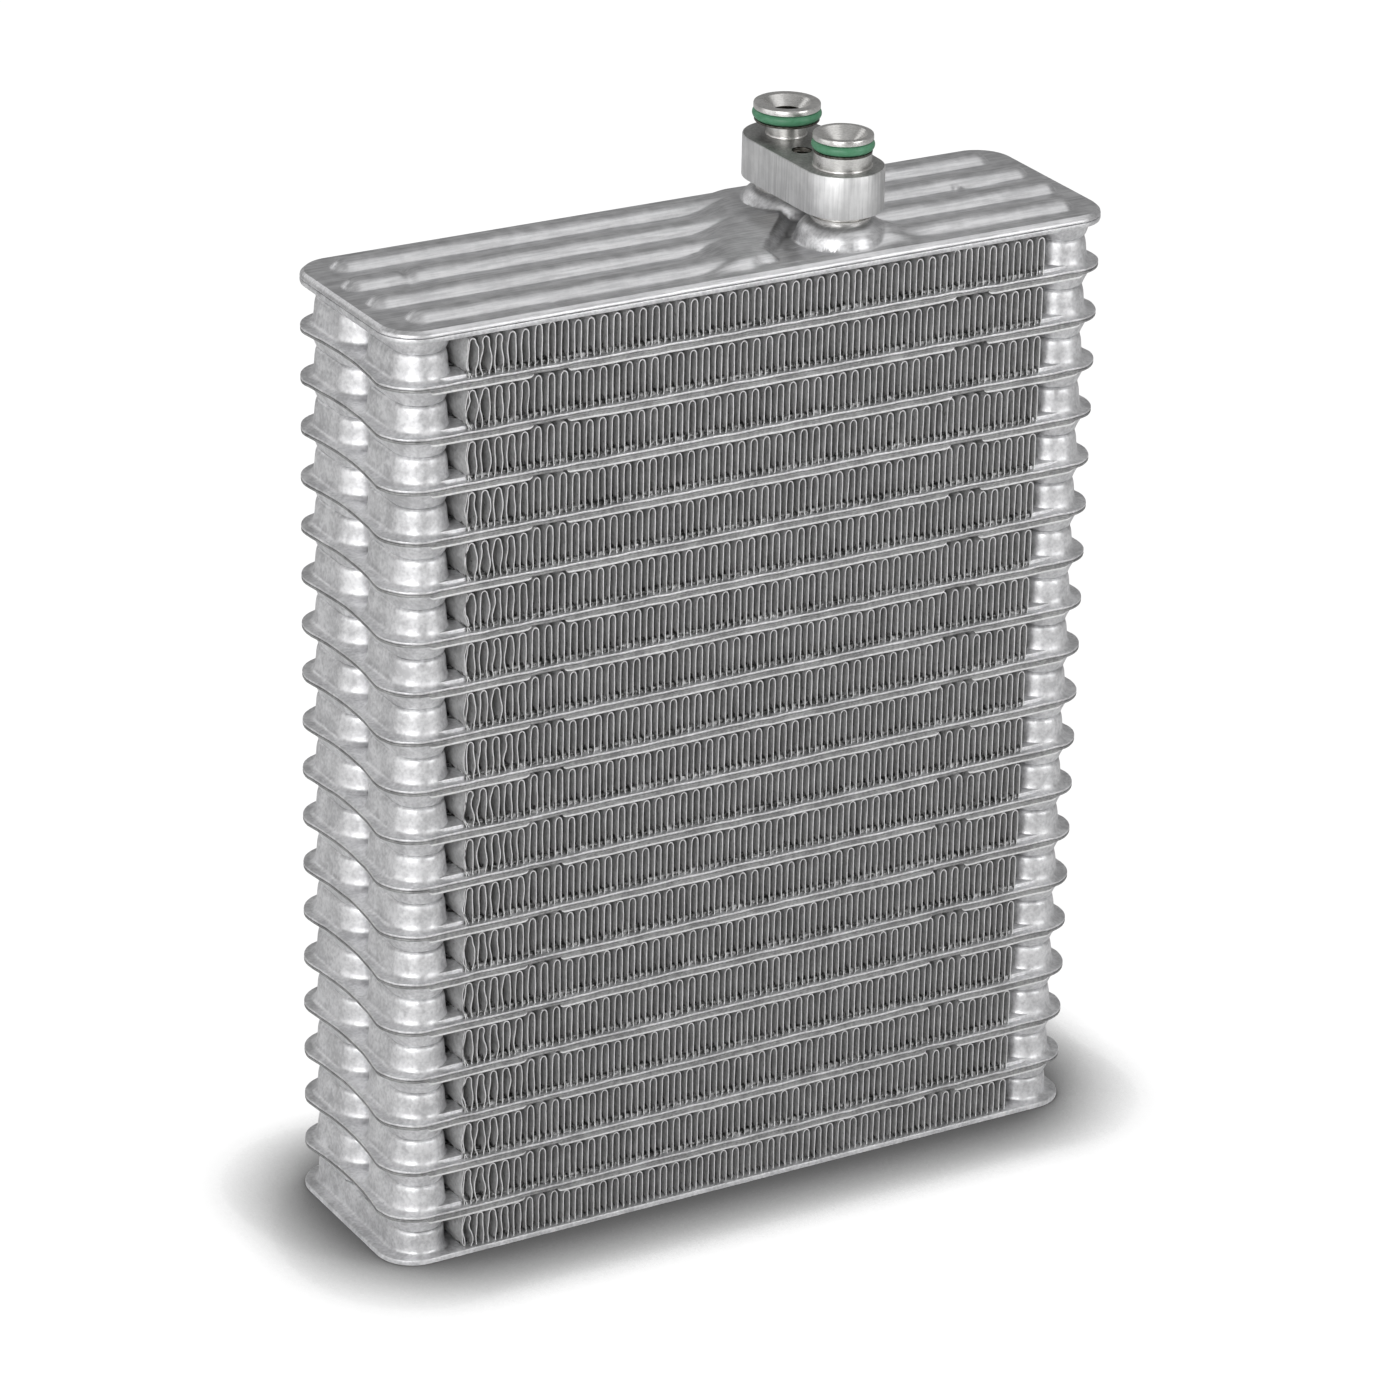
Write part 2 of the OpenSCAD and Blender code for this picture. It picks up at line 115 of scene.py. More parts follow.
def volume(points, quads):
    """Signed volume inside closed quads: a third of the sum of each corner's
    dot product with the area vector of its face, positive if they face out."""
    a, b, c, d = (points[quads[:, i]] for i in range(4))
    areas = np.cross(c - a, d - b) / 2
    return float(np.sum(areas * (a + b + c + d) / 4) / 3)


def outward(points, quads):
    """Turns all quads round if their closed surface is inside out."""
    return quads if volume(points, quads) > 0 else quads[:, ::-1]


class Shell:
    """Points and faces of one piece, kept as arrays until the piece is written.
    `paint` is the number of the material that the next faces take."""

    def __init__(self):
        self.points, self.quads, self.tris, self.count = [], [], [], 0
        self.paint, self.quad_paint, self.tri_paint = 0, [], []

    def add(self, points, quads=(), tris=()):
        """Adds points with faces that count from the first of these points."""
        quads = np.asarray(quads, int).reshape(-1, 4) + self.count
        tris = np.asarray(tris, int).reshape(-1, 3) + self.count
        self.points.append(np.asarray(points, float).reshape(-1, 3))
        self.quads.append(quads)
        self.tris.append(tris)
        self.quad_paint.append(np.full(len(quads), self.paint))
        self.tri_paint.append(np.full(len(tris), self.paint))
        self.count += len(self.points[-1])

    def ring(self, p):
        """Adds a grid p[u, v, xyz] that closes in both directions. Returns the
        paint of its faces as an array [u, v]."""
        n, m = p.shape[:2]
        index = np.arange(n * m).reshape(n, m)
        index = np.vstack([index, index[:1]])
        index = np.hstack([index, index[:, :1]])
        self.add(p, outward(p.reshape(-1, 3), quads_of(index)))
        return self.quad_paint[-1].reshape(n, m)

    def strip(self, p, cap_paint=0):
        """Adds sections p[section, point, xyz] as one closed body. Each section
        runs along one side of something thin and back along the other. Returns
        the paint of the faces between the sections as an array [section, point]."""
        n, m = p.shape[:2]
        index = np.arange(n * m).reshape(n, m)
        sides = quads_of(np.hstack([index, index[:, :1]]))
        i = np.arange(m // 2 - 1)
        cap = np.stack([i, i + 1, m - 2 - i, m - 1 - i], 1)
        quads = np.concatenate([sides, cap[:, ::-1], cap + (n - 1) * m])
        self.add(p, outward(p.reshape(-1, 3), quads))
        paint = self.quad_paint[-1]
        paint[len(sides):] = cap_paint
        return paint[: len(sides)].reshape(n - 1, m)


def rng_of(name):
    """A number source of its own for each piece, the same on every run."""
    return np.random.default_rng(sum(ord(c) * 31**i for i, c in enumerate(name)) % 2**32)


print("Shell ready")

# %% [markdown]
# ## Slow waves instead of dice
#
# Stamped sheet is never quite flat, and brazing leaves its edges slightly wavy.
# A smooth irregular field does this: the sum of a few sine waves with random
# directions and phases. It is cheap, has no grid and gives the same sheet on
# every run, because each piece seeds its own waves by its name. On plates they act
# in a narrow band at the rim. Up and down they go both ways, but sideways they only
# press inwards, so that no plate grows past its solid.


# %% A smooth irregular field, and where it acts
RIM_X, RIM_Y, RIM_BAND = 97.0, 26.0, 3.0


def waves(p, rng, length, terms=6):
    """Sum of sine waves over points p, each with a wave length near `length`
    and a random direction and phase, scaled to about -1 to 1."""
    directions = rng.normal(size=(terms, p.shape[-1]))
    directions /= np.linalg.norm(directions, axis=1)[:, None]
    pace = 2 * np.pi / (length * rng.uniform(0.6, 1.6, terms))
    phases = rng.uniform(0, 2 * np.pi, terms)
    return np.sin(p @ (directions * pace[:, None]).T + phases).sum(-1) / np.sqrt(terms * 1.5)


def rim_share(p):
    """How much a point belongs to its plate's rim: 0 inside the band, 1 at the edge."""
    across = np.clip((np.abs(p[..., 0]) - RIM_X) / RIM_BAND, 0, 1)
    deep = np.clip((np.abs(p[..., 1]) - RIM_Y) / RIM_BAND, 0, 1)
    return np.clip(across + deep, 0, 1)


def press_rim(q, p, push):
    """Moves the points of q inwards by `push` where p lies in the rim's band."""
    for axis, start in ((0, RIM_X), (1, RIM_Y)):
        q[..., axis] -= np.sign(p[..., axis]) * push * (np.abs(p[..., axis]) > start)


print("waves at one point:", np.round(waves(np.zeros((1, 3)), rng_of("test"), 9.0), 3))

# %% [markdown]
# ## Finishes
#
# Brazed aluminium isn't polished: the furnace leaves a satin grey skin with a
# cloudy mottle and fine grain. One node group makes that mottle and its bump, and
# each material takes it with its own colours. Pure mirror metal would turn nearly
# black here, so the roughness stays near 0.5 and spreads each reflection wide.


# %% The mottle of brazed metal, as a node group
def node_group(name, inputs, outputs):
    """An empty shader node group with named sockets, and its two end nodes."""
    group = bpy.data.node_groups.new(name, "ShaderNodeTree")
    for label, kind, value in inputs:
        socket = group.interface.new_socket(label, in_out="INPUT", socket_type=kind)
        socket.default_value = value
    for label, kind in outputs:
        group.interface.new_socket(label, in_out="OUTPUT", socket_type=kind)
    return group, group.nodes.new("NodeGroupInput"), group.nodes.new("NodeGroupOutput")


def link(tree, out, into):
    tree.links.new(out, into)


def noise(tree, vector, scale, detail=3.0, rough=0.55, stretch=None):
    """A noise texture on a vector, with its pattern stretched if asked."""
    if stretch is not None:
        mapping = tree.nodes.new("ShaderNodeMapping")
        mapping.inputs["Scale"].default_value = stretch
        link(tree, vector, mapping.inputs["Vector"])
        vector = mapping.outputs["Vector"]
    texture = tree.nodes.new("ShaderNodeTexNoise")
    texture.inputs["Scale"].default_value = scale
    texture.inputs["Detail"].default_value = detail
    texture.inputs["Roughness"].default_value = rough
    link(tree, vector, texture.inputs["Vector"])
    return texture.outputs["Fac"]


def spread(tree, value, low, high, to_low=0.0, to_high=1.0):
    """Maps a value from low..high to to_low..to_high, with its ends held."""
    node = tree.nodes.new("ShaderNodeMapRange")
    for name, v in (("From Min", low), ("From Max", high), ("To Min", to_low), ("To Max", to_high)):
        node.inputs[name].default_value = v
    link(tree, value, node.inputs["Value"])
    return node.outputs["Result"]


def blend(tree, fac, a, b):
    """A colour between a and b. Each may be a colour or another node's output."""
    node = tree.nodes.new("ShaderNodeMix")
    node.data_type = "RGBA"
    link(tree, fac, node.inputs["Factor"])
    for socket, value in ((node.inputs[6], a), (node.inputs[7], b)):
        if isinstance(value, tuple):
            socket.default_value = value
        else:
            link(tree, value, socket)
    return node.outputs[2]


def math(tree, operation, *values):
    """One step of arithmetic on numbers or on other nodes' outputs."""
    node = tree.nodes.new("ShaderNodeMath")
    node.operation = operation
    for socket, value in zip(node.inputs, values):
        if isinstance(value, float):
            socket.default_value = value
        else:
            link(tree, value, socket)
    return node.outputs[0]


def weighed(tree, a, share, b):
    """A share of value a with the rest of value b."""
    return math(tree, "ADD", math(tree, "MULTIPLY", a, share), math(tree, "MULTIPLY", b, 1 - share))


mottle, mottle_in, mottle_out = node_group(
    "brazed_mottle",
    [("Bright", "NodeSocketColor", (0.8, 0.8, 0.8, 1)), ("Dull", "NodeSocketColor", (0.6, 0.6, 0.6, 1))],
    [("Color", "NodeSocketColor"), ("Roughness", "NodeSocketFloat"), ("Height", "NodeSocketFloat")],
)
place = mottle.nodes.new("ShaderNodeTexCoord").outputs["Object"]
clouds = noise(mottle, place, 150.0, 6.0, 0.66)
grain = noise(mottle, place, 1100.0, 2.0, 0.5)
spots = noise(mottle, place, 300.0, 3.0, 0.6)
patches = spread(mottle, weighed(mottle, clouds, 0.6, grain), 0.40, 0.60)
skin = blend(mottle, patches, mottle_in.outputs["Dull"], mottle_in.outputs["Bright"])
link(mottle, skin, mottle_out.inputs["Color"])
link(mottle, spread(mottle, spots, 0.35, 0.7, 0.41, 0.56), mottle_out.inputs["Roughness"])
link(mottle, weighed(mottle, grain, 0.35, spots), mottle_out.inputs["Height"])
print("mottle group:", len(mottle.nodes), "nodes")

# %% [markdown]
# ## Materials for the brazed pieces
#
# Tubes, end plates and fins share the mottle. The fins differ in two ways. Their
# foil is matt with furnace residue, so part of it scatters light in place of
# mirroring it, and the walls between the waves stay grey and not black. And
# painted shade in dark specks sits where each wave stands on its tube. The layers
# repeat every 13 mm, so one mask finds all feet from the height alone: the remainder
# of the height divided by the pitch. The rims of the sheets get darker copies of
# their metal as painted shade, and the thin edge of the foil a brighter one as a
# painted highlight. The cover's sheet is smoother and keeps streaks along X from
# the rolling mill: noise whose scale along X is small, so that it draws out into
# lines.


# %% Materials for the brazed pieces
FOOT_SHADE_START = 0.3   # a layer's height in the painted shade's mask begins here, 1.2 mm below its feet


def shader_of(name):
    """A new material with its node tree and its Principled shader."""
    material = bpy.data.materials.new(name)
    material.use_nodes = True
    return material, material.node_tree, material.node_tree.nodes["Principled BSDF"]


def add_bump(tree, shader, height, strength, distance=0.0003):
    """Bends the shading normals by a height, without moving any point."""
    relief = tree.nodes.new("ShaderNodeBump")
    relief.inputs["Strength"].default_value = strength
    relief.inputs["Distance"].default_value = distance
    link(tree, height, relief.inputs["Height"])
    link(tree, relief.outputs["Normal"], shader.inputs["Normal"])


def brazed_metal(name, bright, dull, bump=0.15, metallic=1.0):
    """Satin aluminium with the furnace's mottle, in its own two greys."""
    material, tree, shader = shader_of(name)
    group = tree.nodes.new("ShaderNodeGroup")
    group.node_tree = mottle
    group.inputs["Bright"].default_value = (*bright, 1)
    group.inputs["Dull"].default_value = (*dull, 1)
    link(tree, group.outputs["Color"], shader.inputs["Base Color"])
    link(tree, group.outputs["Roughness"], shader.inputs["Roughness"])
    add_bump(tree, shader, group.outputs["Height"], bump)
    shader.inputs["Metallic"].default_value = metallic
    return material


def add_foot_shade(material, dark):
    """Paints shade, broken into dark specks, over the base colour at the feet of the
    fins. The height in a layer runs from 0 to 1. Specks are most common up to 0.09,
    the height of the feet, and get as rare as anywhere else at 0.20."""
    tree = material.node_tree
    shader = tree.nodes["Principled BSDF"]
    unshaded = shader.inputs["Base Color"].links[0].from_socket
    place = tree.nodes.new("ShaderNodeTexCoord").outputs["Object"]
    axes = tree.nodes.new("ShaderNodeSeparateXYZ")
    link(tree, place, axes.inputs[0])
    above = math(tree, "SUBTRACT", axes.outputs["Z"], FOOT_SHADE_START * MM)
    layer = math(tree, "FRACT", math(tree, "DIVIDE", above, PITCH * MM))
    low = spread(tree, layer, 0.09, 0.20, 0.24, 0.0)
    shade_speckle = noise(tree, place, 700.0, 3.0, 0.7)
    shade_mask = spread(tree, math(tree, "ADD", shade_speckle, low), 0.62, 0.80)
    link(tree, blend(tree, shade_mask, unshaded, (*dark, 1)), shader.inputs["Base Color"])


def streaked_metal(name, bright, dull, stretch, rough, bump):
    """Metal with streaks along the axis whose scale is small: marks of a roller or
    of a tool."""
    material, tree, shader = shader_of(name)
    place = tree.nodes.new("ShaderNodeTexCoord").outputs["Object"]
    streaks = noise(tree, place, 1500.0, 3.0, 0.6, stretch)
    clouds = noise(tree, place, 260.0, 4.0, 0.6)
    tone = spread(tree, weighed(tree, streaks, 0.6, clouds), 0.40, 0.60)
    link(tree, blend(tree, tone, (*dull, 1), (*bright, 1)), shader.inputs["Base Color"])
    link(tree, spread(tree, clouds, 0.3, 0.7, rough, rough + 0.12), shader.inputs["Roughness"])
    add_bump(tree, shader, streaks, bump, 0.0002)
    shader.inputs["Metallic"].default_value = 1.0
    return material


tube_metal = brazed_metal("tube_metal", (0.93, 0.93, 0.94), (0.66, 0.66, 0.67), bump=0.3)
# Painted shade: a darker copy of the tube metal for the rims of the sheets.
edge_shade = brazed_metal("edge_shade", (0.46, 0.46, 0.46), (0.26, 0.26, 0.26), bump=0.3, metallic=0.8)
plate_metal = brazed_metal("plate_metal", (0.88, 0.88, 0.89), (0.62, 0.62, 0.63), bump=0.25)
fin_metal = brazed_metal("fin_metal", (0.66, 0.66, 0.66), (0.46, 0.46, 0.46), bump=0.12, metallic=0.45)
# Painted highlight: a brighter copy of the metal for the foil's edges and the lip's bead.
edge_highlight = brazed_metal("edge_highlight", (0.92, 0.92, 0.92), (0.78, 0.78, 0.78), bump=0.05, metallic=0.7)
# Painted shade: nearly black, for the insides of the feet of the fins.
foot_u_shade = brazed_metal("foot_u_shade", (0.13, 0.13, 0.125), (0.04, 0.04, 0.04), bump=0.3, metallic=0.3)
# Painted shade in dark specks at the feet of the fins, where they stand on the tubes.
add_foot_shade(fin_metal, (0.05, 0.05, 0.048))
along_x = (0.06, 1, 1)
rolled_metal = streaked_metal("rolled_metal", (0.86, 0.86, 0.87), (0.62, 0.62, 0.63), along_x, 0.35, 0.06)
brazed = (tube_metal, edge_shade, plate_metal, fin_metal, edge_highlight, foot_u_shade)
print("metals:", [m.name for m in (*brazed, rolled_metal)])

# %% [markdown]
# ## Writing a piece
#
# A mesh is filled from whole arrays with `foreach_set`, which is far quicker than
# building it face by face. Edges that turn by more than 38 degrees stay sharp, all
# others are shaded smooth. The piece then rides on its body and stands for its
# solids.


# %% Writing a piece
SHARP_TURN = np.radians(38)


def write_piece(name, shell, materials, nodes):
    """Makes one mesh of a shell, shades it smooth, and lets it stand for its nodes."""
    points = np.concatenate(shell.points) * MM
    quads, tris = np.concatenate(shell.quads), np.concatenate(shell.tris)
    paint = np.concatenate([*shell.quad_paint, *shell.tri_paint])
    mesh = bpy.data.meshes.new(name)
    mesh.vertices.add(len(points))
    mesh.vertices.foreach_set("co", points.astype(np.float32).ravel())
    corners = np.concatenate([quads.ravel(), tris.ravel()]).astype(np.int32)
    starts = np.concatenate([np.arange(len(quads)) * 4, len(quads) * 4 + np.arange(len(tris)) * 3])
    mesh.loops.add(len(corners))
    mesh.loops.foreach_set("vertex_index", corners)
    mesh.polygons.add(len(quads) + len(tris))
    mesh.polygons.foreach_set("loop_start", starts.astype(np.int32))
    for material in materials:
        mesh.materials.append(material)
    mesh.polygons.foreach_set("material_index", paint.astype(np.int32))
    mesh.update(calc_edges=True)
    mesh.validate()
    mesh.set_sharp_from_angle(angle=SHARP_TURN)
    piece = bpy.data.objects.new(name, mesh)
    bpy.context.scene.collection.objects.link(piece)
    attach(piece, BODY)
    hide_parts(*nodes)
    return piece


print("pieces are written with", MM, "m to the millimetre")

# %% [markdown]
# ## Outlines
#
# A plate's outline is a rectangle with round corners, and a tube plate also dips
# in at both ends, between the cups. Each outline is an array of points with the
# direction that points out of it, so that a rim of any section can be carried
# round it: point + direction x distance.


# %% Outlines of the plates and of the oblong cups
def arc(cx, cy, r, start, end, n):
    """Points on an arc, from one angle in degrees to another."""
    a = np.radians(np.linspace(start, end, n))
    return np.stack([cx + r * np.cos(a), cy + r * np.sin(a)], 1)


def line(a, b, n):
    """Points from a to b with both ends left out, because the arcs own them."""
    t = np.linspace(0, 1, n + 2)[1:-1, None]
    return np.asarray(a) * (1 - t) + np.asarray(b) * t


def outline_directions(p):
    """Outward directions of a closed outline that runs anticlockwise: the
    difference between both neighbours, turned a quarter to the right."""
    along = np.roll(p, -1, 0) - np.roll(p, 1, 0)
    out = np.stack([along[:, 1], -along[:, 0]], 1)
    return out / np.linalg.norm(out, axis=1)[:, None]


def plate_outline(dip=0.0, long_n=90, end_n=15, corner_n=11):
    """Anticlockwise outline of a plate. The dip is a flat arc in each end."""
    w, d, r = CORE_W / 2, CORE_D / 2, CORNER_R
    corners = [(w - r, -d + r, -90), (w - r, d - r, 0), (-w + r, d - r, 90), (-w + r, -d + r, 180)]
    arcs = [arc(cx, cy, r, a, a + 90, corner_n) for cx, cy, a in corners]
    parts = []
    for i, run in enumerate(arcs):
        following = arcs[(i + 1) % 4]
        edge = line(run[-1], following[0], end_n if i % 2 == 0 else long_n)
        if i % 2 == 0:
            half = d - r - 1
            bow = np.clip(1 - (edge[:, 1] / half) ** 2, 0, 1)
            edge[:, 0] -= np.sign(edge[:, 0]) * dip * bow
        parts += [run, edge]
    return np.concatenate(parts)


def oblong_frame(y1, y2, arc_n=17, side_n=5):
    """Middle line points and directions of an oblong from y1 to y2, so that
    middle + direction x radius is its outline for any radius."""
    a = np.radians(np.linspace(180, 360, arc_n))
    low = np.stack([np.cos(a), np.sin(a)], 1)
    side = np.linspace(y1, y2, side_n + 2)[1:-1]
    middle = np.concatenate([np.full(arc_n, y1), side, np.full(arc_n, y2), side[::-1]])
    out = np.concatenate([low, np.tile([1.0, 0], (side_n, 1)), -low, np.tile([-1.0, 0], (side_n, 1))])
    return np.stack([np.zeros(len(middle)), middle], 1), out


tube_edge = plate_outline(dip=END_DIP)
print("tube outline:", len(tube_edge), "points, box", np.ptp(tube_edge, axis=0).round(2))

# %% [markdown]
# ## Stamped sheets
#
# A sheet is its rim and two lids. The rim is rounded above and below, because a
# stamped edge has no sharp corner, and it is what catches the light along every
# plate of the stack. Bevelling a solid would do the same, but the profile gives
# exact control over how deep the line between two brazed sheets looks.


# %% A flat sheet with a rounded rim and holes
EDGE_SHADE = 1   # place of the painted shade on a sheet's rim among the finishes of a sheet


def rim_profile(z1, z2, low_r, high_r, n=2):
    """Section of a rounded rim: [distance inwards, height] from the lower lid to
    the upper one, with a quarter circle at each edge. Both lids start at the
    larger radius."""
    a = np.radians(np.linspace(0, 90, n + 1))
    low = np.stack([low_r - low_r * np.sin(a), z1 + low_r - low_r * np.cos(a)], 1)
    high = np.stack([high_r - high_r * np.cos(a), z2 - high_r + high_r * np.sin(a)], 1)
    low[0, 0] = high[-1, 0] = max(low_r, high_r)
    return np.concatenate([low, high])


def inside(points, loop):
    """True for each point inside a closed loop, by counting edges to its right."""
    x, y = points[:, 0][:, None], points[:, 1][:, None]
    ax, ay = loop[:, 0][None], loop[:, 1][None]
    bx, by = np.roll(loop[:, 0], -1)[None], np.roll(loop[:, 1], -1)[None]
    crosses = (ay > y) != (by > y)
    with np.errstate(divide="ignore", invalid="ignore"):
        at = ax + (y - ay) * (bx - ax) / (by - ay)
    return (crosses & (x < at)).sum(1) % 2 == 1


def lid_triangles(loops):
    """Triangles of the flat area inside the first loop and outside the others."""
    flat = np.concatenate(loops)
    edges, start = [], 0
    for loop in loops:
        n = len(loop)
        edges += [(start + i, start + (i + 1) % n) for i in range(n)]
        start += n
    out = delaunay_2d_cdt([Vector(p) for p in flat], edges, [], 0, 1e-7)
    own = np.array([ids[0] if ids else -1 for ids in out[3]])
    tris = own[np.array(out[2])]
    middle = flat[tris].mean(1)
    keep = inside(middle, loops[0])
    for hole in loops[1:]:
        keep &= ~inside(middle, hole)
    tris = tris[keep & (tris.min(1) >= 0)]
    a, b, c = (flat[tris[:, i]] for i in range(3))
    turn = (b - a)[:, 0] * (c - a)[:, 1] - (b - a)[:, 1] * (c - a)[:, 0]
    tris[turn < 0] = tris[turn < 0][:, ::-1]
    return tris


def add_sheet(shell, outline, z1, z2, low_r, high_r, holes=(), warp=None, tris=None, shade_bands=()):
    """A sheet between two heights. Its rim is carried round the outline, its lids
    close it, and each hole gets a straight wall. The bands of the rim that are
    numbered in the last argument take painted shade, a darker copy of the metal."""
    out = outline_directions(outline)
    profile = rim_profile(z1, z2, low_r, high_r)
    rim = np.empty((len(outline), len(profile), 3))
    rim[:, :, :2] = outline[:, None] - out[:, None] * profile[None, :, :1]
    rim[:, :, 2] = profile[None, :, 1]
    n, m = rim.shape[:2]
    lip = outline - out * max(low_r, high_r)
    loops = [lip, *holes]
    if tris is None:
        tris = lid_triangles(loops)
    flat = np.concatenate(loops)
    base = np.concatenate([flat, np.full((len(flat), 1), z1)], 1)
    roof = np.concatenate([flat, np.full((len(flat), 1), z2)], 1)
    points = np.concatenate([base, roof, rim[:, 1:-1].reshape(-1, 3)])
    k = len(flat)
    index = np.empty((n, m), int)
    index[:, 0] = np.arange(n)
    index[:, -1] = k + np.arange(n)
    index[:, 1:-1] = 2 * k + np.arange(n * (m - 2)).reshape(n, m - 2)
    quads = quads_of(np.vstack([index, index[:1]]))
    start, walls = n, []
    for hole in holes:
        i = start + np.arange(len(hole))
        j = np.roll(i, -1)
        walls.append(np.stack([j, i, i + k, j + k], 1))
        start += len(hole)
    if walls:
        quads = np.concatenate([quads, *walls])
    if warp is not None:
        points = warp(points)
    shell.add(points, quads, np.concatenate([tris[:, ::-1], tris + k]))
    # The listed bands of the rim take painted shade.
    shell.quad_paint[-1][: n * (m - 1)].reshape(n, m - 1)[:, list(shade_bands)] = EDGE_SHADE


print("rim section:", rim_profile(0, SHEET_T, 0.12, 0.28).round(3).tolist())

# %% [markdown]
# ## Tank cups
#
# The cups are drawn out of the plates. Below the flange each cup is a bowl that
# narrows to a neck, above it a nearly upright wall with a rolled foot and a round
# shoulder. Where two cups meet, the rounding of both leaves a dark groove. A cup is
# one closed profile, outer wall and inner wall, carried round an oblong, so it stays
# hollow right through to the next cup.


# %% The profile of a cup and the cups of one tube
def bend(points, steps):
    """A smooth curve through points: a Catmull-Rom spline, where each stretch
    leaves its ends parallel to the line between their neighbours."""
    p = np.asarray(points, float)
    p = np.vstack([2 * p[0] - p[1], p, 2 * p[-1] - p[-2]])
    t = np.linspace(0, 1, steps, endpoint=False)[:, None]
    runs = []
    for a, b, c, d in zip(p[:-3], p[1:-2], p[2:-1], p[3:]):
        runs.append(
            0.5 * (2 * b + (c - a) * t + (2 * a - 5 * b + 4 * c - d) * t**2 + (3 * b - a - 3 * c + d) * t**3)
        )
    return np.vstack([*runs, p[-2:-1]])


BOWL = [
    (NECK_R - 0.5, -CUP_DROP),
    (NECK_R + 0.12, -CUP_DROP + 0.3),
    (NECK_R + 0.45, -4.2),
    (NECK_R + 1.05, -2.9),
    (CUP_R + 0.4, -1.5),
    (CUP_R + 1.4, -SHEET_T + 0.02),
]
UPRIGHT = [
    (CUP_R + 1.1, SHEET_T - 0.02),
    (CUP_R + 0.2, SHEET_T + 0.35),
    (CUP_R - 0.35, SHEET_T + 1.1),
    (CUP_R - 0.65, 3.3),
    (NECK_R + 0.6, 5.2),
    (NECK_R + 0.38, 6.5),
    (NECK_R + 0.05, 7.3),
    (NECK_R - 0.6, CUP_RISE),
]
INNER = [
    (HOLE_R, CUP_RISE),
    (HOLE_R, CUP_RISE - SHEET_T),
    (NECK_R - SHEET_T, CUP_RISE - SHEET_T),
    (CUP_R - 0.75 - SHEET_T, 1.6),
    (CUP_R - 0.15 - SHEET_T, -1.6),
    (NECK_R - SHEET_T, -CUP_DROP + SHEET_T),
    (HOLE_R, -CUP_DROP + SHEET_T),
    (HOLE_R, -CUP_DROP),
]
cup_profile = np.vstack([bend(BOWL, 2), bend(UPRIGHT, 2), np.array(INNER)])


def add_oblong(shell, profile, y1, y2, turned, warp=None, side_n=5):
    """Carries a closed profile round an oblong over the left or the right tank."""
    middle, out = oblong_frame(y1, y2, side_n=side_n)
    p = np.empty((len(middle), len(profile), 3))
    p[:, :, :2] = middle[:, None] + out[:, None] * profile[None, :, :1]
    p[:, :, 2] = profile[None, :, 1]
    p[:, :, 0] += CUP_X
    if turned:
        p[:, :, :2] *= -1
    if warp is not None:
        p = warp(p)
    shell.ring(p)


print("cup profile:", len(cup_profile), "points round its section")

# %% [markdown]
# ## Flat tubes
#
# Two sheets lie face to face: the thin line between their rounded rims shows all
# along the edge. The upper sheet's rim takes painted shade only where it rounds
# down to the joint, and nearly all of the lower sheet's rim takes painted shade, so
# each edge of the stack reads as a light band over a dark one. The lower sheet folds
# down into a lip along both long edges, in three lengths with gaps between them, and
# a painted highlight on the lip's bead draws a bright line under the dark band.
# Between the cups the sheets swell into two flat passages with a groove between.
# Where fins cover a passage it takes the duller finish of the fins as painted shade;
# it is seen only through their gaps.
# Each tube gets its own slow waves, a tenth of a millimetre or two, so no two edges
# in the stack are quite alike.

# %% Parts of a tube
LIP_DROP, LIP_START, NOTCH_START, NOTCH_W = 1.0, 9.3, 36.8, 9.4
LIP_END, LIP_STEP = 1.2, 5.0
FIN_INSET = 20.0
BEAD_HIGHLIGHT, PASSAGE_SHADE = 2, 3   # places of a painted highlight on the lip's bead and of painted shade on a passage under fins


EDGE_R, JOINT_R, JOINT_GAP = 0.18, 0.14, 0.05
CUP_HOLE_R = CUP_R - 1.1
FRONT_CUP, BACK_CUP = (CUP_Y_OUTER, CUP_Y_INNER), (-CUP_Y_INNER, -CUP_Y_OUTER)


def hole_loop(turned, ends):
    """The outline of a cup's inside, where the sheets are open."""
    middle, out = oblong_frame(*ends, arc_n=9, side_n=1)
    loop = middle + out * CUP_HOLE_R + [CUP_X, 0]
    return loop * (-1 if turned else 1)


tube_holes = [hole_loop(turned, ends) for turned in (False, True) for ends in (FRONT_CUP, BACK_CUP)]
tube_lid = lid_triangles([tube_edge - outline_directions(tube_edge) * EDGE_R, *tube_holes])


def add_lip(shell, x1, x2, side, warp):
    """The folded lip: a flat section with a bead along its lower edge, carried
    along the plate. Both its ends are rounded by a quarter circle: the drop is
    the square root of 1 less the squared share of LIP_END that is still to go."""
    near_end = np.array([0, 0.25, 0.8])
    long_run = np.linspace(x1 + 2, x2 - 2, max(4, int((x2 - x1) / LIP_STEP)))
    x = np.concatenate([x1 + near_end, long_run, x2 - near_end[::-1]])
    to_go = 1 - np.clip(np.minimum(x - x1, x2 - x) / LIP_END, 0, 1)
    drop = LIP_DROP * np.sqrt(np.clip(1 - to_go**2, 0.05, 1))
    half = SHEET_T / 2
    outer = [(-0.6, 0.4), (-0.8, 0.0), (-0.8, -0.45), (-1.0, -0.66), (-0.97, -0.9), (-0.5, -1)]
    inner = [(0.5, -1), (0.93, -0.85), (1, -0.6), (1, -0.4), (1, 0.0), (0.93, 0.4)]
    section = np.array(outer + inner)
    p = np.empty((len(x), len(section), 3))
    p[:, :, 0] = x[:, None]
    p[:, :, 1] = side * (CORE_D / 2 - half - section[None, :, 0] * half)
    z = section[None, :, 1]
    p[:, :, 2] = -SHEET_T + np.where(z < 0, z * drop[:, None], z * 0.5)
    # Painted shade on the lip's upper outer face, and a painted highlight on its bead.
    shell.strip(warp(p))[:, :4] = [EDGE_SHADE, EDGE_SHADE, BEAD_HIGHLIGHT, BEAD_HIGHLIGHT]


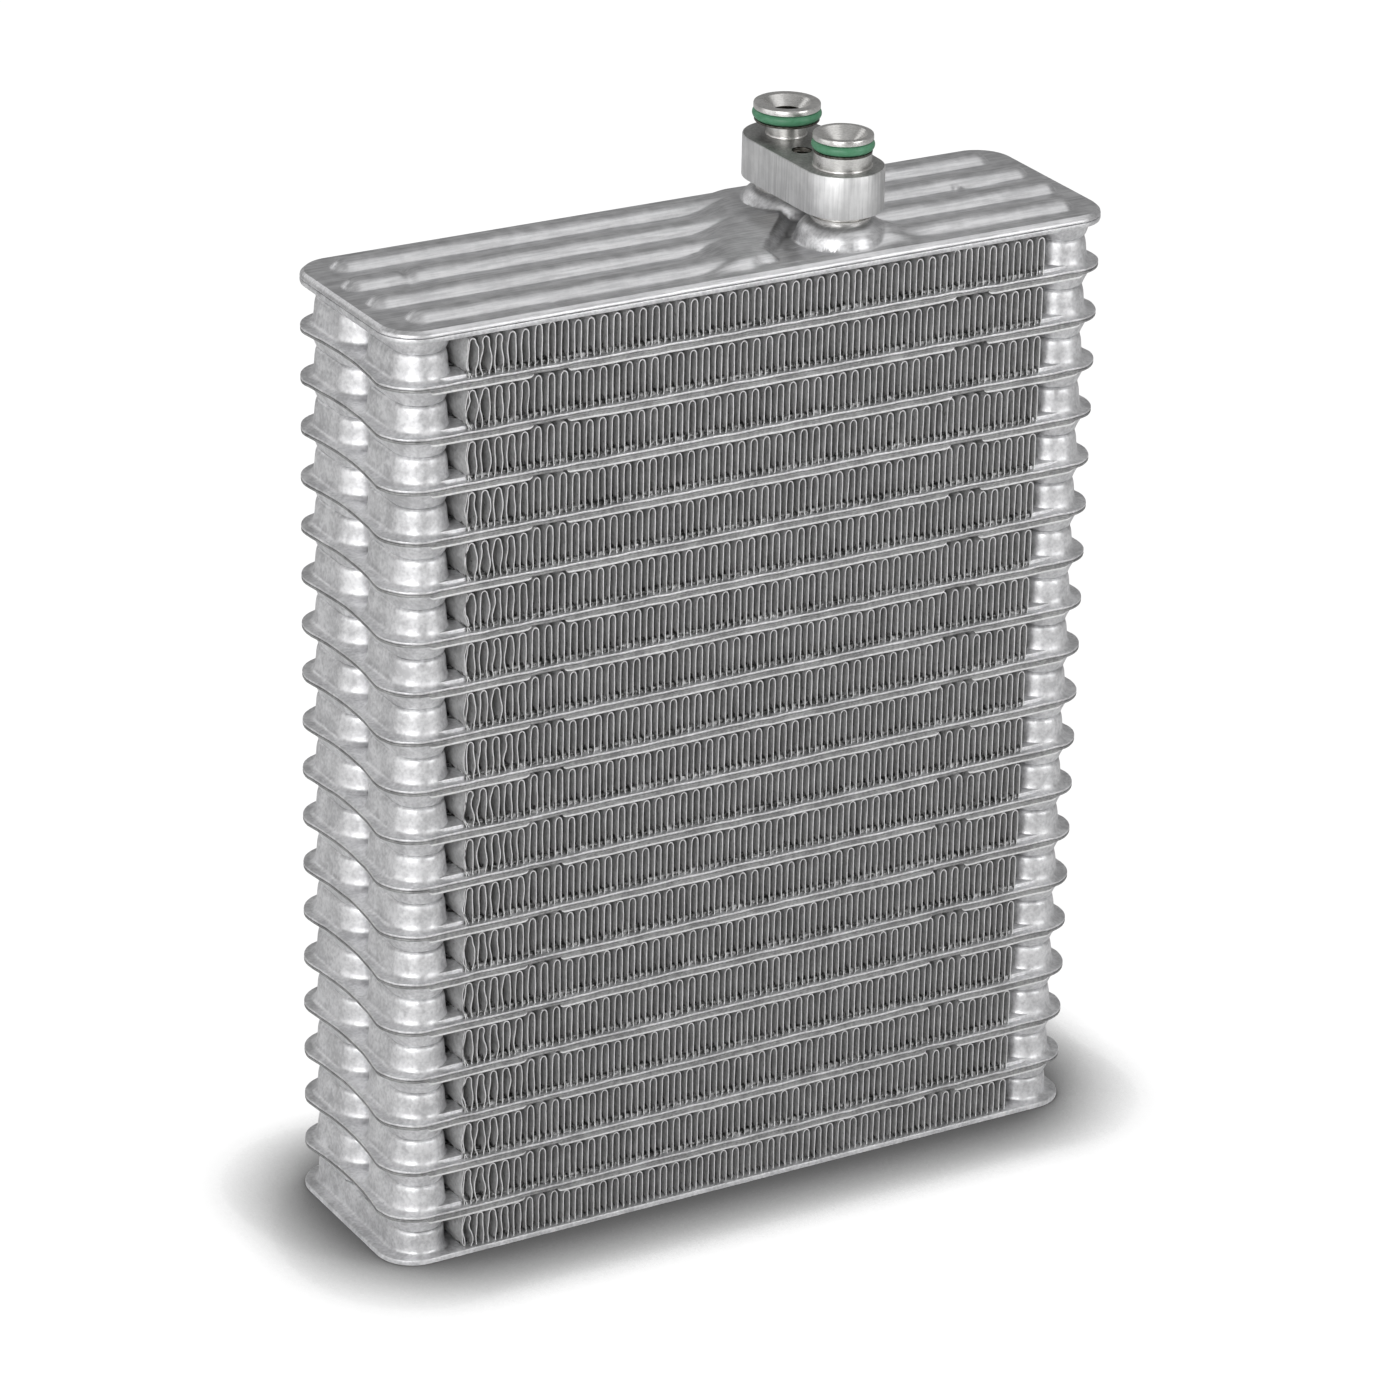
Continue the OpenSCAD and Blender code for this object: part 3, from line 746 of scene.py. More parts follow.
def add_passage(shell, side, warp):
    """The swelling of both sheets over one passage: a flat box with round edges."""
    wide = CORE_D / 2 - FLANGE_W - GROOVE_W / 2
    middle_y = side * (GROOVE_W / 2 + wide / 2)
    corner_r, edge_r = 1.5, 0.35
    x, reach = -CUP_X - corner_r, wide / 2 - corner_r
    corners = [(x, -reach, -90), (x, reach, 0), (-x, reach, 90), (-x, -reach, 180)]
    arcs = [arc(cx, middle_y + cy, corner_r, a, a + 90, 4) for cx, cy, a in corners]
    following = arcs[1:] + arcs[:1]
    edges = [line(a[-1], b[0], n) for a, b, n in zip(arcs, following, (3, 40, 3, 40))]
    loop = np.vstack([points for pair in zip(arcs, edges) for points in pair])
    add_sheet(shell, loop, -TUBE_T / 2, TUBE_T / 2, edge_r, edge_r, warp=warp)
    first = shell.count - len(shell.points[-1])
    # Where fins cover the passage, it takes the fins' duller metal as painted shade.
    for faces, paint in ((shell.quads[-1], shell.quad_paint[-1]), (shell.tris[-1], shell.tri_paint[-1])):
        face_x = shell.points[-1][faces - first, 0].mean(1)
        paint[np.abs(face_x) < CORE_W / 2 - FIN_INSET] = PASSAGE_SHADE


RIM_WAVE, CUP_WAVE = 0.10, 0.06


def tube_shell(name, z):
    """All of one tube around the height of its middle."""
    rng = rng_of(name)
    seeds = rng.integers(0, 2**31, 4)

    def warp(p):
        """Slow and quick waves up and down along the rim, and a press inwards."""
        rim = rim_share(p)
        slow, quick, push = (
            waves(p[..., :2], np.random.default_rng(seed), length) * RIM_WAVE * rim
            for seed, length in zip(seeds, (60, 9, 14))
        )
        q = p + [0, 0, z]
        q[..., 2] += slow + quick
        press_rim(q, p, np.abs(push))
        return q

    def cup_warp(p):
        """Slow waves of the cups' walls to the left and right."""
        q = p + [0, 0, z]
        q[..., 0] += waves(p, np.random.default_rng(seeds[3]), 16) * CUP_WAVE
        return q

    shell = Shell()
    # Painted shade on the upper sheet's rounding down to the joint and on nearly all of the lower sheet's
    # rim.
    upper_shade, lower_shade = (0, 1), (1, 2, 3, 4)
    add_sheet(shell, tube_edge, JOINT_GAP, SHEET_T, JOINT_R, EDGE_R, tube_holes, warp, tube_lid, upper_shade)
    add_sheet(shell, tube_edge, -SHEET_T, -JOINT_GAP, EDGE_R, JOINT_R, tube_holes, warp, tube_lid, lower_shade)
    far, near = CORE_W / 2 - LIP_START, CORE_W / 2 - NOTCH_START
    for side in (-1, 1):
        add_passage(shell, side, warp)
        for x1, x2 in ((-far, -near), (-near + NOTCH_W, near - NOTCH_W), (near, far)):
            add_lip(shell, x1, x2, side, warp)
    for turned in (False, True):
        for ends in (FRONT_CUP, BACK_CUP):
            add_oblong(shell, cup_profile, *ends, turned, cup_warp)
    return shell


# A tube's skin, then its painted edge shade, its painted highlight and its painted passage shade.
tube_finishes = [tube_metal, edge_shade, edge_highlight, fin_metal]
for i in range(1, TUBES + 1):
    node = f"tube_{i:02d}"
    shell = tube_shell(node, HIGHEST_TUBE_Z - (i - 1) * PITCH)
    piece = write_piece(f"{node}_plates", shell, tube_finishes, [node])
print("last tube:", len(piece.data.vertices), "points,", len(piece.data.polygons), "faces")

# %% [markdown]
# ## Corrugated fins
#
# A fin is one strip of foil, folded to and fro 46 times. Its front edge is what
# one sees: bright hairpins with grey gaps between. The middle line is built from
# legs and half-ellipse crests, then the legs get a slight random bow. Handling
# has bent the first few waves at the left end, so their bow is far stronger, but
# it is held below half the distance to the next leg, so no two legs ever cross.
# At the front the edge of the foil sags, so that its feet end in the braze on the
# flange. Its crests sag less, and hardly at all in the gaps between the lips, where
# they would show a dark hole. The front edge of the foil takes a painted highlight,
# brighter than its walls, and painted shade fills the insides of the feet. The first
# leg, seen from its broad side, bulges outwards like a sail.

# %% The wave of a fin
FIN_SETBACK, FIN_WAVES, FOIL_T = 1.3, 46, 0.26
CREST_H, FOOT_SAG, CREST_SAG, NOTCH_SAG = 1.1, 1.7, 0.8, 0.1
FOOT_H, GROUND_GAP = 1.7, 0.3
CALM_BOW, BENT_BOW, BENT_REACH, BACK_BOW, BOW_LIMIT = 0.045, 0.5, 13.0, 0.03, 0.7
FIN_STEP = (CORE_W - 2 * FIN_INSET - FOIL_T) / (2 * FIN_WAVES - 1)
FOIL_HIGHLIGHT, U_FOOT_SHADE = 1, 2   # places of the foil edge's painted highlight and of the feet's painted shade among a fin's finishes


def fin_line(rng, bow):
    """Middle line of the foil as [x, z] points: leg, crest, leg, foot and so on.
    A crest is half an ellipse. Each leg is bent by a bow that vanishes at its
    ends: a bulge, and an S that leans it over at mid height."""
    legs = 2 * FIN_WAVES
    tall = FIN_H / 2 - FOIL_T / 2
    straight = tall - CREST_H
    leg_t = np.linspace(-1, 1, 7)
    crest_a = np.radians(np.linspace(0, 180, 7))[1:-1]
    at = np.arange(legs) * FIN_STEP
    outwards = np.where(np.arange(legs) % 2 == 0, -1.0, 1.0)
    bulge = (outwards * np.abs(rng.normal(0.7, 0.5, legs)) + rng.normal(size=legs) * 0.3) * bow(at)
    sway = rng.normal(size=legs) * bow(at) * 0.5
    z_leg = leg_t * straight
    runs = []
    for i in range(legs):
        up = 1 if i % 2 == 0 else -1
        x = bulge[i] * np.cos(leg_t * np.pi / 2) ** 1.5 + sway[i] * np.sin(leg_t * np.pi)
        x = at[i] + np.clip(x, -BOW_LIMIT, BOW_LIMIT)
        runs.append(np.stack([x, z_leg], 1)[::up])
        if i < legs - 1:
            cx = at[i] + FIN_STEP / 2
            crest_x = cx - FIN_STEP / 2 * np.cos(crest_a)
            runs.append(np.stack([crest_x, up * (straight + CREST_H * np.sin(crest_a))], 1))
    runs[0] = np.vstack([[at[0], -tall], runs[0]])
    runs[-1] = np.vstack([runs[-1], [at[-1], -tall]])
    return np.vstack(runs)


def add_sail(shell, rng, z):
    """The broad first leg: a thin sheet that bulges to the left, most in its
    middle, with its front edge and its lower corner crumpled. It runs from the
    front (t = 0) to the core's middle and from its foot (v = -1) to its crest."""
    t = np.linspace(0, 1, 17)[:, None]
    v = np.linspace(-1, 1, 13)[None, :]
    y = FRONT + FIN_SETBACK + t * 26 + 0 * v
    height = FIN_H / 2 - 0.15
    bulge = 1.1 * (1 - np.abs(v) ** 2.2) * (0.35 + 0.65 * np.sin(np.pi * np.clip(t * 1.3 + 0.1, 0, 1)))
    creases = waves(np.stack([y, z + v * height + 0 * t], -1), rng, 5) * 0.28 * (1 - v**2) * np.exp(-3 * t)
    corner = 1.1 * np.exp(-(((v + 1) / 0.5) ** 2) - (t / 0.12) ** 2)
    x = LEFT + FIN_INSET - 0.12 - bulge + creases + corner
    sag = np.exp(-((t / 0.12) ** 2)) * (FOOT_SAG + (CREST_SAG - FOOT_SAG) * (v + 1) / 2)
    left_side = np.stack([x, y, z + v * height - sag], -1)
    left_side[..., 2] = np.maximum(left_side[..., 2], GROUND_GAP)
    right_side = left_side + [0.2, 0, 0]
    # The sail's front and back ends take the painted highlight of the foil's edge.
    shell.strip(np.concatenate([left_side, right_side[:, ::-1]], 1), FOIL_HIGHLIGHT)


def fin_shell(name, z):
    """The foil as a closed section round its wave, carried from front to back.
    `keep` is the share of the bent front line at each depth, the rest is calm."""
    rng = rng_of(name)
    front_line = fin_line(rng, lambda x: CALM_BOW + BENT_BOW * np.exp(-((x / BENT_REACH) ** 2)))
    calm_line = fin_line(rng, lambda x: BACK_BOW + 0 * x)
    depth = FRONT + np.array([FIN_SETBACK, 3.4, 7.0, CORE_D - FIN_SETBACK])
    rows = []
    for y, keep, sag in zip(depth, (1.0, 0.95, 0.7, 0.0), (1.0, 0.9, 0.0, 0.0)):
        p = front_line * keep + calm_line * (1 - keep)
        along = np.gradient(p, axis=0)
        out = np.stack([along[:, 1], -along[:, 0]], 1)
        out /= np.linalg.norm(out, axis=1)[:, None]
        ring = np.vstack([p + out * FOIL_T / 2, (p - out * FOIL_T / 2)[::-1]])
        ring[:, 1] = np.clip(ring[:, 1], -FIN_H / 2, FIN_H / 2)
        share = ring[:, 1] / FIN_H + 0.5
        from_end = FIN_INSET + np.minimum(ring[:, 0], CORE_W - 2 * FIN_INSET - ring[:, 0])
        in_notch = (from_end > NOTCH_START - 0.5) & (from_end < NOTCH_START + NOTCH_W + 0.5)
        crest_sag = np.where(in_notch, NOTCH_SAG, CREST_SAG)
        ring[:, 1] -= sag * (FOOT_SAG + (crest_sag - FOOT_SAG) * share)
        x = LEFT + FIN_INSET + FOIL_T / 2 + ring[:, 0]
        rows.append(np.stack([x, np.full(len(ring), y), z + ring[:, 1]], 1))
    rows = np.array(rows)
    rows[..., 2] = np.maximum(rows[..., 2], GROUND_GAP)
    shell = Shell()
    # The foil's front and back edges take a painted highlight.
    walls = shell.strip(rows, FOIL_HIGHLIGHT)
    m = rows.shape[1]
    # Painted shade inside the U of each foot, where the wave closes on its tube.
    inner_side, low = np.arange(m) >= m // 2, rows[-1, :, 2] < z - FIN_H / 2 + FOOT_H
    walls[:, inner_side & low] = U_FOOT_SHADE
    add_sail(shell, rng, z)
    return shell


for i in range(1, FINS + 1):
    node = f"fin_{i:02d}"
    shell = fin_shell(node, TOP_PLATE_Z - FIN_H / 2 - (i - 1) * PITCH)
    piece = write_piece(f"{node}_foil", shell, [fin_metal, edge_highlight, foot_u_shade], [node])
print("last fin:", len(piece.data.vertices), "points,", len(piece.data.polygons), "faces")

# %% [markdown]
# ## End plates
#
# Both end plates are thicker sheets with the same rounded rim. The bottom one has
# two long pans that close the tanks from below, each a hollow wall carried round
# one long oblong. The plate under the cover has the same pans the other way up.

# %% End plates
BOTTOM_SEAM_Z, TOP_SEAM_Z = LOWEST_TUBE_Z - CUP_DROP, HIGHEST_TUBE_Z + CUP_RISE
SLIT_R = 0.3
bottom_pan = np.vstack([
    bend([
        (CUP_R + 0.35, BASE_T - 0.02),
        (CUP_R - 0.35, BASE_T + 0.22),
        (CUP_R - 0.78, BASE_T + 0.95),
        (NECK_R + 0.52, BOTTOM_SEAM_Z - 2.4),
        (NECK_R + 0.44, BOTTOM_SEAM_Z - 1.1),
        (NECK_R + 0.2, BOTTOM_SEAM_Z - 0.35),
        (NECK_R - 0.15, BOTTOM_SEAM_Z),
    ], 2),
    [(SLIT_R, BOTTOM_SEAM_Z), (SLIT_R, BOTTOM_SEAM_Z - BASE_T), (NECK_R - BASE_T, BOTTOM_SEAM_Z - BASE_T)],
    [(CUP_R - BASE_T, BASE_T), (CUP_R - BASE_T, 0.05)],
])
top_pan = np.vstack([
    bend([
        (NECK_R, TOP_SEAM_Z),
        (NECK_R + 0.42, TOP_SEAM_Z + 0.42),
        (NECK_R + 0.85, TOP_SEAM_Z + 1.5),
        (CUP_R - 0.25, TOP_PLATE_Z - 1.1),
        (CUP_R, TOP_PLATE_Z - 0.4),
        (CUP_R + 0.3, TOP_PLATE_Z + 0.05),
    ], 2),
    [(CUP_R - 1.4, TOP_PLATE_Z + 0.05), (NECK_R - SHEET_T, TOP_SEAM_Z + SHEET_T)],
    [(SLIT_R, TOP_SEAM_Z + SHEET_T), (SLIT_R, TOP_SEAM_Z)],
])


def plate_warp(name, edge=0.07):
    """A function that presses a plate's rim in by up to `edge`, in slow waves."""
    seed = rng_of(name).integers(0, 2**31, 2)[0]

    def warp(p):
        q = p.copy()
        push = np.abs(waves(p[..., :2], np.random.default_rng(seed), 16)) * edge
        press_rim(q, p, push * rim_share(p))
        return q

    return warp


def long_holes(r):
    """Outlines of the openings under both long pans."""
    middle, out = oblong_frame(CUP_Y_OUTER, -CUP_Y_OUTER, arc_n=13, side_n=9)
    loop = middle + out * r + [CUP_X, 0]
    return [loop, -loop]


end_edge = plate_outline()
bottom = Shell()
add_sheet(bottom, end_edge, 0, BASE_T, 0.3, 0.5, long_holes(CUP_R - BASE_T), plate_warp("bottom"))
top = Shell()
add_sheet(top, end_edge, TOP_PLATE_Z, COVER_Z - 0.02, 0.45, 0.3, (), plate_warp("top"))
for turned in (False, True):
    add_oblong(bottom, bottom_pan, CUP_Y_OUTER, -CUP_Y_OUTER, turned, side_n=13)
    add_oblong(top, top_pan, CUP_Y_OUTER, -CUP_Y_OUTER, turned, side_n=13)
write_piece("bottom_plate_sheet", bottom, [plate_metal], ["bottom_end_plate"])
write_piece("top_plate_sheet", top, [plate_metal], ["top_tank_plate"])
print("end plates:", bottom.count, "and", top.count, "points")

# %% [markdown]
# ## Ribbed cover
#
# The cover is one stamped sheet, so its whole upper side is a height over the
# plate: the highest of ribs, raised fields and bells. Where two forms meet, the
# soft maximum adds a fillet as a press tool does: if the heights differ by d, less
# than k, it adds (k - d) squared over 4k. Dents and nicks are small bell curves
# added on top. A height field keeps all this in one function of x and y, and its
# grid is finer round the bells, where the form turns quickly. Modelling the sheet
# by hand would give the same form, but not one that follows the sizes.

# %% The form of the cover
RIM_R = 1.05
RIB_H, RIB_W, RIB_PITCH = 2.6, 8.0, 13.2
RIB_R = (RIB_W**2 / 4 + RIB_H**2) / (2 * RIB_H)
PORT_X, PORT_YS = LEFT + 129, (FRONT + 13.6, FRONT + 40.4)
BELL_R, BELL_H, BELL_ROUND_R, COLLAR_R = 11.2, 5.9, 5.5, 7.5
# For each left rib from the front: its end at the left, and where it has run out
LEFT_RIBS = ((7.5, 108), (4.0, 112), (4.0, 118), (7.5, 124))
# Lines across the cover, as [y, x] from the front left corner of the plate
FIELD_FULL = np.array([(3.6, 97), (19, 101), (33, 112), (46.5, 118), (58, 121)])
FACET_TOP = np.array([(0, 96.5), (4.8, 98), (11.6, 105), (28.4, 120), (40.4, 126), (58, 126)])
RIGHT_RIBS_X = 133
# Stretches over which a raised field climbs or falls, in the same measure
FIELD_RUN, FACET_RUN = 16, 5.2
FRONT_RUN, BACK_RUN = (2.2, 6.2), (52.0, 55.6)
RIGHT_RISE, BRANCH_RISE, RIGHT_FALL = (131, 135), (126, 129), (138, 148)
BRANCH_FRONT, BRANCH_BACK = (2.6, 5.6), (19, 24)
# The bulge between the bells and the front: middle x, y, half length, half width, height
BULGE = (137, 9.5, 8.5, 5.2, 4.6)
RIB_FILLET, BULGE_FILLET, BELL_FILLET = 0.3, 1.2, 1.5
SHEET_WAVE, BELL_WAVE = 0.05, 0.04
# Marks of handling: x, y, half length, half width, height
MARKS = (
    (20.5, 35.6, 1.4, 5.0, -0.8), (174, 32.2, 0.8, 0.6, -0.6), (175.2, 31.6, 0.6, 0.5, 0.45),
    (181, 31.5, 4.0, 0.45, -0.4), (23.7, 43.2, 0.9, 0.6, -0.3), (22.8, 14.8, 1.0, 0.6, -0.4),
    (44.3, 4.5, 0.8, 0.6, -0.25), (92.3, 18.6, 0.9, 0.7, -0.25), (39.8, 28.1, 1.2, 0.5, -0.2),
    (121.5, 7.8, 0.5, 0.5, -0.25), (123.4, 6.6, 0.4, 0.5, -0.2), (125.3, 5.9, 0.4, 0.4, -0.2),
    (122.3, 9.8, 0.4, 0.4, -0.2), (114.5, 13.2, 1.6, 1.5, -0.4), (118.4, 19.5, 1.5, 1.8, -0.45),
    (112.0, 17.5, 1.8, 1.2, 0.3), (142.0, 27.0, 1.0, 0.7, -0.3), (160.0, 6.0, 1.2, 0.7, -0.2),
)


def step(x, start, end):
    """Rises smoothly from 0 at start to 1 at end: t squared times 3 - 2t."""
    t = np.clip((x - start) / (end - start), 0, 1)
    return t * t * (3 - 2 * t)


def mound(x, y, mx, my, rx, ry, height):
    """A bell curve over an ellipse: height times e to the power of minus the sum
    of both distances squared, each over its own radius squared."""
    return height * np.exp(-(((x - mx) / rx) ** 2) - ((y - my) / ry) ** 2)


def soft_max(a, b, k):
    """The larger of two heights, with a fillet where they differ by less than k."""
    return np.maximum(a, b) + np.clip(k - np.abs(a - b), 0, None) ** 2 / (4 * k)


def rib_height(x, y, x1, x2, y0):
    """Top of a round bar with ball ends: the square root of radius squared less
    distance squared, where the distance is from the bar's axis."""
    d = np.hypot(x - np.clip(x, x1 + RIB_W / 2, x2 - RIB_W / 2), y - y0)
    bar = np.sqrt(np.clip(RIB_R**2 - d**2, 0, None)) - (RIB_R - RIB_H)
    return np.where(d < RIB_W / 2, bar, -1.6 * (d - RIB_W / 2))


def bell_height(x, y, y0):
    """A dome that falls from its collar along one arc to its widest radius."""
    centre_r = BELL_R - BELL_ROUND_R
    foot = BELL_H - np.sqrt(BELL_ROUND_R**2 - (COLLAR_R - centre_r) ** 2)
    d = np.maximum(np.hypot(x - PORT_X, y - y0), COLLAR_R)
    dome = foot + np.sqrt(np.clip(BELL_ROUND_R**2 - (d - centre_r) ** 2, 0, None))
    return np.where(d < BELL_R, dome, foot - 3 * (d - BELL_R))


def rib_heights(x, y):
    """The highest of all eight ribs, four left and four right of the fields."""
    ribs = np.full(x.shape, -9.0)
    for i, (inset, run_out) in enumerate(LEFT_RIBS):
        y0 = (i - 1.5) * RIB_PITCH
        ribs = np.maximum(ribs, rib_height(x, y, LEFT + inset, LEFT + run_out, y0))
        ribs = np.maximum(ribs, rib_height(x, y, LEFT + RIGHT_RIBS_X, -LEFT - inset, y0))
    return ribs


def field_heights(cx, cy):
    """The highest of the raised fields: the large one that ends in the slanted
    facet, the one at the right of the bells and its branch to the front bell."""
    full = np.interp(cy, FIELD_FULL[:, 0], FIELD_FULL[:, 1])
    facet = np.interp(cy, FACET_TOP[:, 0], FACET_TOP[:, 1])
    sides = step(cy, *FRONT_RUN) * (1 - step(cy, *BACK_RUN))
    branch_sides = step(cy, *BRANCH_FRONT) * (1 - step(cy, *BRANCH_BACK))
    right_end = 1 - step(cx, *RIGHT_FALL)
    left_field = step(cx, full - FIELD_RUN, full) * (1 - step(cx, facet, facet + FACET_RUN)) * sides
    right_field = step(cx, *RIGHT_RISE) * right_end * sides
    branch = step(cx, *BRANCH_RISE) * right_end * branch_sides
    return RIB_H * np.maximum(np.maximum(left_field, right_field), branch)


def scratch(cx, cy):
    """A thin raised line near the front rim, by the foot of the facet."""
    line_y = 4.2 - 0.01 * (cx - 104)
    return 0.16 * np.exp(-(((cy - line_y) / 0.45) ** 2)) * step(cx, 102, 105) * (1 - step(cx, 122, 125))


def cover_height(x, y):
    """Height of the cover's upper side above its flat roof."""
    cx, cy = x - LEFT, y - FRONT
    h = soft_max(rib_heights(x, y), field_heights(cx, cy), RIB_FILLET)
    h = soft_max(h, mound(cx, cy, *BULGE), BULGE_FILLET)
    for y0 in PORT_YS:
        h = soft_max(h, bell_height(x, y, y0), BELL_FILLET)
    h += scratch(cx, cy)
    for mark in MARKS:
        h += mound(cx, cy, *mark)
    from_sides = np.clip(1 - np.abs(cy - CORE_D / 2) / (CORE_D / 2 - 1), 0, 1)
    from_ends = np.clip((CORE_W / 2 - 0.5 - np.abs(x)) / 4, 0, 1)
    away_from_rim = np.clip(from_sides * from_ends * 3, 0, 1)
    near_bells = np.exp(-(((cx - 122) / 16) ** 2))
    flat = np.stack([x, y], -1)
    h += away_from_rim * waves(flat, rng_of("cover"), 24) * SHEET_WAVE
    h += away_from_rim * near_bells * waves(flat, rng_of("bells"), 9) * BELL_WAVE
    return h


def cover_grid():
    """Points over the plate: rows of equal y whose ends follow the round corners."""
    corner, straight = CORNER_R - RIM_R, CORE_D / 2 - CORNER_R
    round_rows = straight + corner * np.sin(np.radians(np.linspace(0, 90, 25)))[1:]
    rows = np.concatenate([-round_rows[::-1], np.linspace(-straight, straight, 145), round_rows])
    even, bells_from, bells_to = 88, 11, 46
    left = np.linspace(-even, bells_from, 134)[:-1]
    fine = np.linspace(bells_from, bells_to, 101)[:-1]
    columns = np.concatenate([left, fine, np.linspace(bells_to, even, 58)])
    past = np.clip(np.abs(rows) - straight, 0, corner)
    reach = CORE_W / 2 - CORNER_R + np.sqrt(corner**2 - past**2)
    ends = even + (reach[:, None] - even) * np.linspace(0, 1, 23)[1:]
    x = np.hstack([-ends[:, ::-1], np.tile(columns, (len(rows), 1)), ends])
    y = np.tile(rows[:, None], (1, x.shape[1]))
    return np.stack([x, y, ROOF_Z + cover_height(x, y)], -1)


cover_top = cover_grid()
print("cover grid:", cover_top.shape[:2], "highest", cover_top[..., 2].max().round(2))

# %% [markdown]
# ## Closing the cover
#
# The edge of the grid is carried outwards and down round a quarter circle to the
# rim, down the rim and in again to a flat underside. The rim shares its first
# points with the grid, so light runs over the rounding without a seam.


# %% Closing the cover
def cover_shell(top):
    """The cover as one closed body: grid, rim and underside."""
    n, m = top.shape[:2]
    index = np.arange(n * m).reshape(n, m)
    edge = np.concatenate([index[0, :-1], index[:-1, -1], index[-1, :0:-1], index[:0:-1, 0]])
    points = top.reshape(-1, 3)
    loop = points[edge]
    out = outline_directions(loop[:, :2])
    a = np.radians([30, 60, 90])
    rounding = zip(RIM_R * np.sin(a), -RIM_R * (1 - np.cos(a)))
    section = [*rounding, (RIM_R, -COVER_T + 0.22), (RIM_R - 0.2, -COVER_T + 0.02)]
    warp = plate_warp("cover")
    k = len(edge)
    rings = []
    for far, down in section:
        rings.append(warp(np.column_stack([loop[:, :2] + out * far, np.full(k, ROOF_Z + down)])))
    ring_index = [edge, *(n * m + i * k + np.arange(k) for i in range(len(rings)))]
    quads = [quads_of(index.T)]
    for upper, lower in zip(ring_index[:-1], ring_index[1:]):
        quads.append(np.stack([lower, np.roll(lower, -1), np.roll(upper, -1), upper], 1))
    lid = lid_triangles([rings[-1][:, :2]])
    shell = Shell()
    shell.add(np.concatenate([points, *rings]), np.concatenate(quads), ring_index[-1][lid[:, ::-1]])
    return shell


cover = cover_shell(cover_top)
write_piece("ribbed_cover_sheet", cover, [rolled_metal], ["top_cover"])
print("cover:", cover.count, "points")

# %% [markdown]
# ## Finishes of the block and the rings
#
# The block is cut from an extruded bar: its sides carry fine upright streaks, its
# top a darker copy of the same metal as painted shade. The spigots are turned and
# shine. The streaks come from noise that is stretched 25 times along Z, and for the
# turned parts it is squeezed four times, which draws fine rings. The ring grooves,
# the bores and the thread take painted shade. Rubber is a plain dark green with a
# soft sheen, slightly dusty in patches.


# %% Materials of the block and the rings
upright, even_noise, rings = (1, 1, 0.04), (1, 1, 1), (1, 1, 4)
block_side = streaked_metal("block_side", (0.88, 0.88, 0.88), (0.70, 0.70, 0.70), upright, 0.42, 0.1)
# Painted shade: the block's top is a darker copy of the side's metal.
block_top_shade = streaked_metal("block_top_shade", (0.50, 0.50, 0.49), (0.32, 0.32, 0.31), even_noise, 0.40, 0.2)
turned_metal = streaked_metal("turned_metal", (0.86, 0.85, 0.83), (0.66, 0.65, 0.63), rings, 0.26, 0.08)
# Painted shade for the grooves, the bores, the hole walls and the thread.
recess_shade_metal = streaked_metal("recess_shade_metal", (0.20, 0.19, 0.17), (0.07, 0.065, 0.055), even_noise, 0.30, 0.15)
ring_rubber, tree, shader = shader_of("ring_rubber")
dust = noise(tree, tree.nodes.new("ShaderNodeTexCoord").outputs["Object"], 400.0, 4.0, 0.6)
link(
    tree,
    blend(tree, spread(tree, dust, 0.4, 0.7), (0.075, 0.255, 0.135, 1), (0.115, 0.32, 0.19, 1)),
    shader.inputs["Base Color"],
)
link(tree, spread(tree, dust, 0.3, 0.7, 0.30, 0.45), shader.inputs["Roughness"])
print("block finishes:", block_side.name, block_top_shade.name, turned_metal.name, recess_shade_metal.name)

# %% [markdown]
# ## Connector block
#
# The block is an outline of two round ends of different radius, joined by their
# common tangents. Collars and spigots are turned: a closed profile of radius and
# height carried round an upright axis. The face of each rim has fine rings from
# the tool, and the thread is the same idea with a twist, a V that climbs by one
# pitch per turn: radius = f(height / pitch + angle / full turn).

# %% The block's forms
BELL_TOP_Z = ROOF_Z + BELL_H
BLOCK_Z, BLOCK_TOP_Z, SPIGOT_TOP_Z = BELL_TOP_Z + 2.6, BELL_TOP_Z + 13.4, BELL_TOP_Z + 21.6
BLOCK_RS, SCREW_X, SCREW_Y = (10.5, 10.9), PORT_X - 3.4, PORT_YS[0] + 13.6
SMALL = {"rim": 7.5, "shank": 7.2, "bore": 2.8, "y": PORT_YS[0]}
LARGE = {"rim": 8.35, "shank": 5.0, "bore": 3.5, "y": PORT_YS[1]}
MOUTH_R, RIM_T, RING_T, RING_PROUD = 6.0, 1.5, 2.6, 0.3
THREAD_PITCH, THREAD_R, SCREW_R = 1.0, 2.1, 2.55
HOLE_N = 48
SHADED_TOP, TURNED, RECESS_SHADE = 1, 2, 3   # places of the top's painted shade, the turned metal and the recesses' painted shade among the block's finishes


def block_outline():
    """Two arcs and their common tangents, anticlockwise from the left."""
    span = PORT_YS[1] - PORT_YS[0]
    lean = np.degrees(np.arcsin((BLOCK_RS[1] - BLOCK_RS[0]) / span))
    near = arc(PORT_X, PORT_YS[0], BLOCK_RS[0], 180 + lean, 360 - lean, 49)
    far = arc(PORT_X, PORT_YS[1], BLOCK_RS[1], -lean, 180 + lean, 49)
    return np.concatenate([near, line(near[-1], far[0], 12), far, line(far[-1], near[0], 12)])


def circle_loop(cx, cy, r):
    """Points round a hole of the block."""
    a = np.linspace(0, 2 * np.pi, HOLE_N, endpoint=False)
    return np.stack([cx + r * np.cos(a), cy + r * np.sin(a)], 1)


